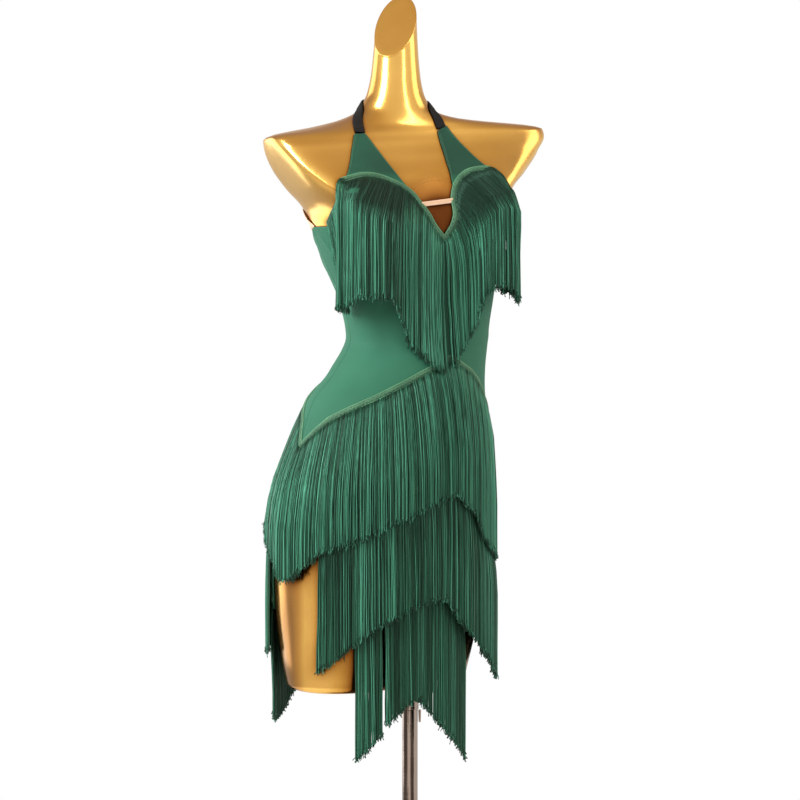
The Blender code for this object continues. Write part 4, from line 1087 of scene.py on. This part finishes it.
def strand_wander(layer, row, random, clumps, where, at, frame_at, fallen, lean):
    """How far each strand strays along its row: off a sloping braid, into its clump, and in waves."""
    _, across, normal, steps = frame_at
    sideways = unit(np.stack([-normal[:, 1], normal[:, 0]], axis=1))
    slope = -(across[:, :2] * sideways).sum(axis=1)
    level = np.abs((steps[:, :2] * sideways).sum(axis=1))
    sweep = line(BUST_SWEEP, at) if row.name == "bust_fringe" else PLAIN_SWEEP
    swept = (sweep * slope)[:, None] * (1 - np.exp(-fallen / 0.03))
    pull = ((clumps.middle - where) * layer.gather * level)[:, None] * smooth_step(fallen / 0.05)
    spans = (0.2, 1.0), (30, 80), (0, 6.3)
    height, rate, phase = (random.uniform(*span, len(at))[:, None] for span in spans)
    waves = height * WAVE_SIZE * np.sin(fallen * rate + phase) * smooth_step(fallen / 0.03)
    return swept + pull + waves + lean[:, None] * fallen / 0.15


def hung_paths(row, fall, at, root, wander, heights, fallen, depth, cover):
    """The strands' paths: their bearings from the fall's axis, and how far from it they hang."""
    offset = root[:, :2] - fall.axis
    bearing = np.degrees(np.arctan2(offset[:, 0], -offset[:, 1]))
    bearings = bearing[:, None] + np.degrees(wander / np.hypot(*offset.T)[:, None])
    reach = fall.at(bearings, heights)
    widest = np.maximum.accumulate(reach, axis=1)
    hold = row.hold * (line(BUST_SLACK, np.abs(at))[:, None] if row.name == "bust_fringe" else 1.0)
    lift = row.out_high + (row.out_low - row.out_high) * np.clip(fallen / row.ramp, 0, 1)
    if row.name == "mid_fringe_front":
        lift = lift + line(MID_SPREAD, at)[:, None] * smooth_step(fallen / 0.1)
    lift = lift + depth[:, None] * (0.35 + 0.65 * smooth_step(fallen / 0.05))
    radius = reach + (widest - reach) * hold + lift + (COVER_LIFT * 0.8 * cover)[:, None]
    turn = np.radians(bearings)
    x, y = fall.axis[0] + radius * np.sin(turn), fall.axis[1] - radius * np.cos(turn)
    return np.stack([x, y, heights], axis=-1)


def strand_tones(row, tone, paths, fallen):
    """Painted shade on strands lying back over the bust, facing the dark ceiling; those below face the lamps.
    """
    run = np.gradient(paths, axis=1)
    plumb = np.abs(run[..., 2]) / np.linalg.norm(run, axis=2)
    tones = tone[:, None] - LYING_SHADE * (1 - smooth_step((plumb - 0.8) / 0.19))
    # Near their roots strands are darkened too: painted shade under the braid, or a painted shadow of the row
    # above.
    return tones - (0.1 if row.shaded < 0.01 else 0.45) * np.exp(-fallen / row.shaded)


def strand_layer(layer, row, fall, random):
    """Paths, radii and tones of one layer of a row's strands."""
    dense, length = dense_line(row, row.first, row.last)
    count = int(length[-1] / layer.pitch / (1))
    where = (np.arange(count) + 0.5 + random.uniform(-0.45, 0.45, count)) / count * length[-1]
    at = np.interp(where, length, dense)
    centre, across, normal, _ = frame_at = frames(row, at)

    clumps = Clumps(random, where, length[-1], layer.clump)
    clump_depth = random.uniform(0, 1, len(clumps.widths))[clumps.own]
    # Painted shade: row.tone darkens the lower rows and layer.tone the layers nearer the cloth; the clumps'
    # spread is random tone.
    tone = row.tone + layer.tone + clumps.normal(*TONE_SPREAD)
    drop = line(row.drops, at) + clumps.normal(*DROP_SPREAD)
    stray = random.uniform(0, 1, count) > 1 - STRAY_SHARE
    drop = drop + np.where(stray, random.uniform(*STRAY_DROP, count), 0)
    lean = clumps.normal(*LEAN_SPREAD)
    deep = 0.6 * clump_depth + 0.4 * random.uniform(0, 1, count)
    depth = layer.depth_1 + (layer.depth_2 - layer.depth_1) * deep

    cover = smooth_step(line(COVER, at)) if row.name == "bust_fringe" else np.zeros(count)
    root = (
        centre + across * (-0.002 + COVER_ACROSS * cover)[:, None]
        + normal * (BRAID_LIFT + 0.0002 + 0.25 * depth + COVER_LIFT * cover)[:, None]
    )
    start = root[:, 2] - 0.0012
    tip = line(row.line, at) - drop
    heights = start[:, None] + (tip - start)[:, None] * STRAND_SHARES
    fallen = start[:, None] - heights

    wander = strand_wander(layer, row, random, clumps, where, at, frame_at, fallen, lean)
    paths = hung_paths(row, fall, at, root, wander, heights, fallen, depth, cover)
    # The first points come out from under the braid, and the last is a knot that is never quite plumb.
    blend = np.array([1.0, 0.35])[None, :, None]
    near = np.stack([root, root - across * 0.003], axis=1)
    paths[:, :2] = paths[:, :2] * (1 - blend) + near * blend
    paths[:, -1] += random.normal(0, TIP_SPREAD, (count, 3)) * np.array([1, 1, 0.3])
    radii = layer.radius * random.uniform(0.8, 1.2, count)[:, None] * np.ones(STRAND_POINTS)
    radii[:, -2:] *= np.array([0.85, 1.3])
    return paths, radii, strand_tones(row, tone, paths, fallen)


def strand_map(count):
    """A strand's faces lie side by side on the map, and its length runs up it."""
    strand, side = np.meshgrid(np.arange(count), np.arange(STRAND_SIDES), indexing="ij")
    left = ((strand + side / STRAND_SIDES) / count)[:, None]
    right = ((strand + (side + 0.98) / STRAND_SIDES) / count)[:, None]
    shares = STRAND_SHARES[None, :, None]
    left, right, foot, top = np.broadcast_arrays(left, right, shares[:, :-1], shares[:, 1:])
    sides = np.stack([
        np.stack([left, right, right, left], axis=-1), np.stack([foot, foot, top, top], axis=-1),
    ], axis=-1)
    ends = [np.stack([left[:, 0], np.full(strand.shape, share)], axis=-1) for share in (0.999, 0.001)]
    return np.concatenate([part.reshape(-1, 2) for part in (sides, *ends)])


def make_strands(number, row, fall, material):
    """Every strand of one row. A strand leaves the braid square to it, then falls plumb; strands hang in
    clumps, in front of and behind each other."""
    random = np.random.default_rng(100 + number)
    layers = [strand_layer(layer, row, fall, random) for layer in LAYERS]
    paths, radii, tones = (np.concatenate(parts) for parts in zip(*layers))
    count = len(paths)
    points, faces = tubes(paths, radii, STRAND_SIDES, random.uniform(0, 6.3, count))
    name = f"{row.name}_strands"
    piece = mesh_piece(name, points, faces, material, uv=strand_map(count))
    give_values(piece, "tone", np.repeat(np.clip(tones, 0.0, 1.2), STRAND_SIDES))
    give_values(piece, "share", np.tile(np.repeat(STRAND_SHARES, STRAND_SIDES), count))
    return piece


def make_fringes(thread, braid):
    torso = Fall((-0.002, 0.012), 1.03, 1.37)
    hips = Fall((-0.042, 0.002), 0.5, 1.14)
    made = {}
    for number, row in enumerate(FRINGES):
        hung = make_strands(number, row, torso if row.name == "bust_fringe" else hips, thread)
        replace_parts(hung, row.name)
        first, last = max(row.first, BRAID_ENDS[0]), row.last
        if row.back:
            first, last = row.first, min(row.last, BRAID_ENDS[1])
        made[row.name] = (hung, make_braid(row, first, last, braid))
    return made


# ---------------------------------------------------------------- the stand


def turned_piece(name, profile, sides, material):
    """A body of revolution about the pole's axis, through (radius, height) pairs."""
    angles = np.arange(sides) * 2 * math.pi / sides
    points = [[(r * math.cos(a), r * math.sin(a), z) for a in angles] for r, z in profile]
    faces = capped_grid(len(profile), sides)
    if profile[0] == profile[-1]:
        faces = faces[:1]
    return mesh_piece(name, np.reshape(points, (-1, 3)), faces, material, sharp=35)


def bevelled(corners, size):
    """A profile with each inner corner replaced by a short curve."""
    made = [corners[0]]
    for before, corner, after in np.array(list(zip(corners, corners[1:], corners[2:]))):
        sides = before - corner, after - corner
        long = [np.linalg.norm(side) for side in sides]
        reach = min(size, *(length / 2.2 for length in long))
        start, end = (corner + side / length * reach for side, length in zip(sides, long))
        for t in np.linspace(0, 1, 5):
            made.append(tuple(start * (1 - t) ** 2 + 2 * corner * t * (1 - t) + end * t * t))
    made.append(corners[-1])
    return made


ROD_RADIUS = 0.0092  # of the rod that slides in the pole


def rod_profile(low, high, radius):
    """The pole: a tube up to its collar, and the thinner rod that slides in it."""
    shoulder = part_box("collar")[0].z - 0.0003
    return [
        (radius - 0.001, low.z), (radius, low.z + 0.001), (radius, shoulder), (ROD_RADIUS, shoulder),
        (ROD_RADIUS, high.z),
    ]


def disc_profile(low, high, radius):
    foot = low.z + (high.z - low.z) * 0.1
    return [(radius * 0.97, low.z), (radius, foot), (radius, high.z), (radius * 0.6, high.z)]


def ring_profile(inner):
    """A ring about a hole of the radius inner."""
    def profile(low, high, radius):
        seam = (inner, (low.z + high.z) / 2)
        return [seam, (inner, low.z), (radius, low.z), (radius, high.z), (inner, high.z), seam]
    return profile


def make_stand(steel, dark):
    for node, profile, bevel, sides, material, slot in (
        ("pole", rod_profile, 0.0012, 64, steel, "brushed_steel"),
        ("form_socket", disc_profile, 0.0008, 64, steel, "brushed_steel"),
        ("base_plate", disc_profile, 0.0022, 160, dark, "black_steel"),
        ("collar", ring_profile(0.0095), 0.0015, 72, steel, "brushed_steel"),
        ("base_hub", ring_profile(0.0113), 0.0015, 72, dark, "black_steel"),
    ):
        low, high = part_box(node)
        corners = bevelled(profile(low, high, (high.x - low.x) / 2), bevel)
        piece = turned_piece(f"stand_{node}", corners, sides, material)
        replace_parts(piece, node)
    make_screw(steel)


def make_screw(steel):
    """The clamp's thumb screw, a flat grip that tapers to its foot."""
    low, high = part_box("clamp_screw")
    size, centre = high - low, (high + low) / 2
    made = bmesh.new()
    bmesh.ops.create_cube(made, size=1.0)
    for v in made.verts:
        taper = 0.75 if v.co.z < 0 else 1.0
        v.co = Vector((v.co.x * size.x * taper, v.co.y * size.y * taper, v.co.z * size.z)) + centre
    bmesh.ops.bevel(made, geom=list(made.edges), offset=0.0009, segments=4, affect="EDGES", profile=0.5)
    mesh = bpy.data.meshes.new("stand_clamp_screw")
    made.to_mesh(mesh)
    made.free()
    mesh.shade_smooth()
    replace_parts(as_piece(mesh, steel), "clamp_screw")


# ---------------------------------------------------------------- studio


VIEW_AZIMUTH, VIEW_ELEVATION = math.radians(-32.0), math.radians(3.0)
VIEW_DISTANCE = 3.2
VIEW_WIDTH = 1.12  # of the frame at that distance
FLOOR_RADIUS = 1.3
TARGET_HEIGHT, AIM_HEIGHT = 1.03, 1.15  # what the camera and the softboxes look at
POLE_OFFSET = -0.014  # of the frame's middle to the right of the pole, so the pole stands right of it


def camera_basis():
    a, e = VIEW_AZIMUTH, VIEW_ELEVATION
    back = Vector((math.sin(a) * math.cos(e), -math.cos(a) * math.cos(e), math.sin(e)))
    right = Vector((math.cos(a), math.sin(a), 0))
    return back, right


# Softboxes: bearings from the camera's side, positive to its right.
SOFTBOXES = (
    # name, bearing, distance, height, size, radiance, colour
    ("key_left", -53.0, 2.3, 2.35, (0.9, 2.1), 14.0, (0.97, 1.0, 1.0)),
    ("fill_right", 41.0, 2.6, 2.2, (0.3, 2.0), 6.5, (1.0, 0.97, 0.92)),
    ("wall_left", -122.0, 2.5, 1.3, (1.4, 2.4), 1.8, (0.97, 1.0, 1.0)),
    ("side_right", 98.0, 2.3, 2.05, (1.1, 1.6), 2.2, (1.0, 0.94, 0.82)),
)
# The room's brightness from straight down to straight up, on the camera's side and behind the form.
ROOM_AHEAD = (
    (0.0, (0.6, 0.55, 0.5)), (0.2, (0.98, 0.96, 0.96)), (0.35, (0.72, 0.62, 0.55)),
    (0.45, (0.76, 0.68, 0.61)), (0.52, (0.88, 0.86, 0.82)), (0.66, (0.92, 0.88, 0.83)),
    (0.86, (0.82, 0.72, 0.6)), (1.0, (0.56, 0.41, 0.26)),
)
ROOM_BEHIND = (
    (0.0, (0.42, 0.36, 0.32)), (0.38, (0.62, 0.6, 0.58)), (0.5, (0.86, 0.85, 0.83)),
    (0.62, (0.66, 0.58, 0.54)), (0.78, (0.34, 0.25, 0.28)), (1.0, (0.48, 0.37, 0.3)),
)


def make_camera(back, right):
    data = bpy.data.cameras.new("camera")
    data.sensor_width = 36.0
    data.lens = data.sensor_width * VIEW_DISTANCE / VIEW_WIDTH
    camera = new_object("camera", data)
    target = Vector((0, 0, TARGET_HEIGHT)) + right * POLE_OFFSET
    camera.location = target + back * VIEW_DISTANCE
    camera.rotation_mode = "QUATERNION"
    camera.rotation_quaternion = back.to_track_quat("Z", "Y")
    bpy.context.scene.camera = camera


def make_softboxes(level, right):
    for name, bearing, distance, height, size, radiance, colour in SOFTBOXES:
        turn = math.radians(bearing)
        data = bpy.data.lights.new(name, "AREA")
        data.shape = "RECTANGLE"
        data.size, data.size_y = size
        data.energy = radiance * math.pi * size[0] * size[1]
        data.color = colour
        light = new_object(name, data)
        place = level * distance * math.cos(turn) + right * distance * math.sin(turn) + Vector((0, 0, height))
        light.location = place
        light.rotation_euler = (place - Vector((0, 0, AIM_HEIGHT))).to_track_quat("Z", "Y").to_euler()


def make_floor():
    bpy.ops.mesh.primitive_circle_add(
        vertices=128, radius=FLOOR_RADIUS, fill_type="NGON", location=(0, 0, -0.0005)
    )
    floor = bpy.context.active_object
    floor.name = "floor"
    nodes = new_material("studio_floor")
    grain = nodes.noise(nodes.place(), 90.0, 3.0)
    white = nodes.ramp(grain, ((0.3, (0.8, 0.8, 0.79)), (0.7, (0.84, 0.84, 0.83))))
    floor.data.materials.append(nodes.shader(Base_Color=white, Roughness=0.7))


def make_room(level):
    """The room that lights the dress and shows in its gold. The camera itself sees plain white."""
    world = bpy.data.worlds.new("studio")
    bpy.context.scene.world = world
    nodes = Nodes(world)
    nodes.tree.nodes.clear()
    way = nodes.add("ShaderNodeTexCoord").outputs["Generated"]
    height = nodes.range(nodes.add("ShaderNodeSeparateXYZ", {0: way}).outputs["Z"], -1.0, 1.0)
    ahead = nodes.add("ShaderNodeVectorMath", {0: way, 1: level}, operation="DOT_PRODUCT").outputs["Value"]
    behind_tones, ahead_tones = nodes.ramp(height, ROOM_BEHIND), nodes.ramp(height, ROOM_AHEAD)
    tones = nodes.mixed("MIX", nodes.range(ahead, -0.35, 0.35), behind_tones, ahead_tones)
    lit, seen = (
        nodes.add("ShaderNodeBackground", {"Color": colour}).outputs[0]
        for colour in (tones, (1.0, 1.0, 1.0, 1.0))
    )
    to_camera = nodes.add("ShaderNodeLightPath").outputs["Is Camera Ray"]
    shown = nodes.add("ShaderNodeMixShader", {"Fac": to_camera, 1: lit, 2: seen}).outputs[0]
    nodes.add("ShaderNodeOutputWorld", {"Surface": shown})


def make_studio():
    back, right = camera_basis()
    level = Vector((back.x, back.y, 0)).normalized()
    make_camera(back, right)
    make_softboxes(level, right)
    make_floor()
    make_room(level)
    bpy.context.scene.view_settings.view_transform = "Standard"


def main():
    green, thread, braid = jersey(), fringe_thread(), braid_thread()
    black = elastic("black_elastic", (0.0015, 0.0015, 0.002), (0.007, 0.007, 0.008), 900.0, 0.03, 0.18)
    nude = elastic("nude_elastic", (0.62, 0.34, 0.21), (0.95, 0.66, 0.46), 500.0, 0.2, 0.5)
    make_form(gold_lacquer())
    make_stand(brushed_steel(), black_steel())
    front, back = make_bodice(green)
    right, left = make_halters(green, braid)
    apron, tail = make_skirt(green)
    back_elastic, bridge = make_elastics(black, nude)
    rows = make_fringes(thread, braid)

    make_studio()


main()
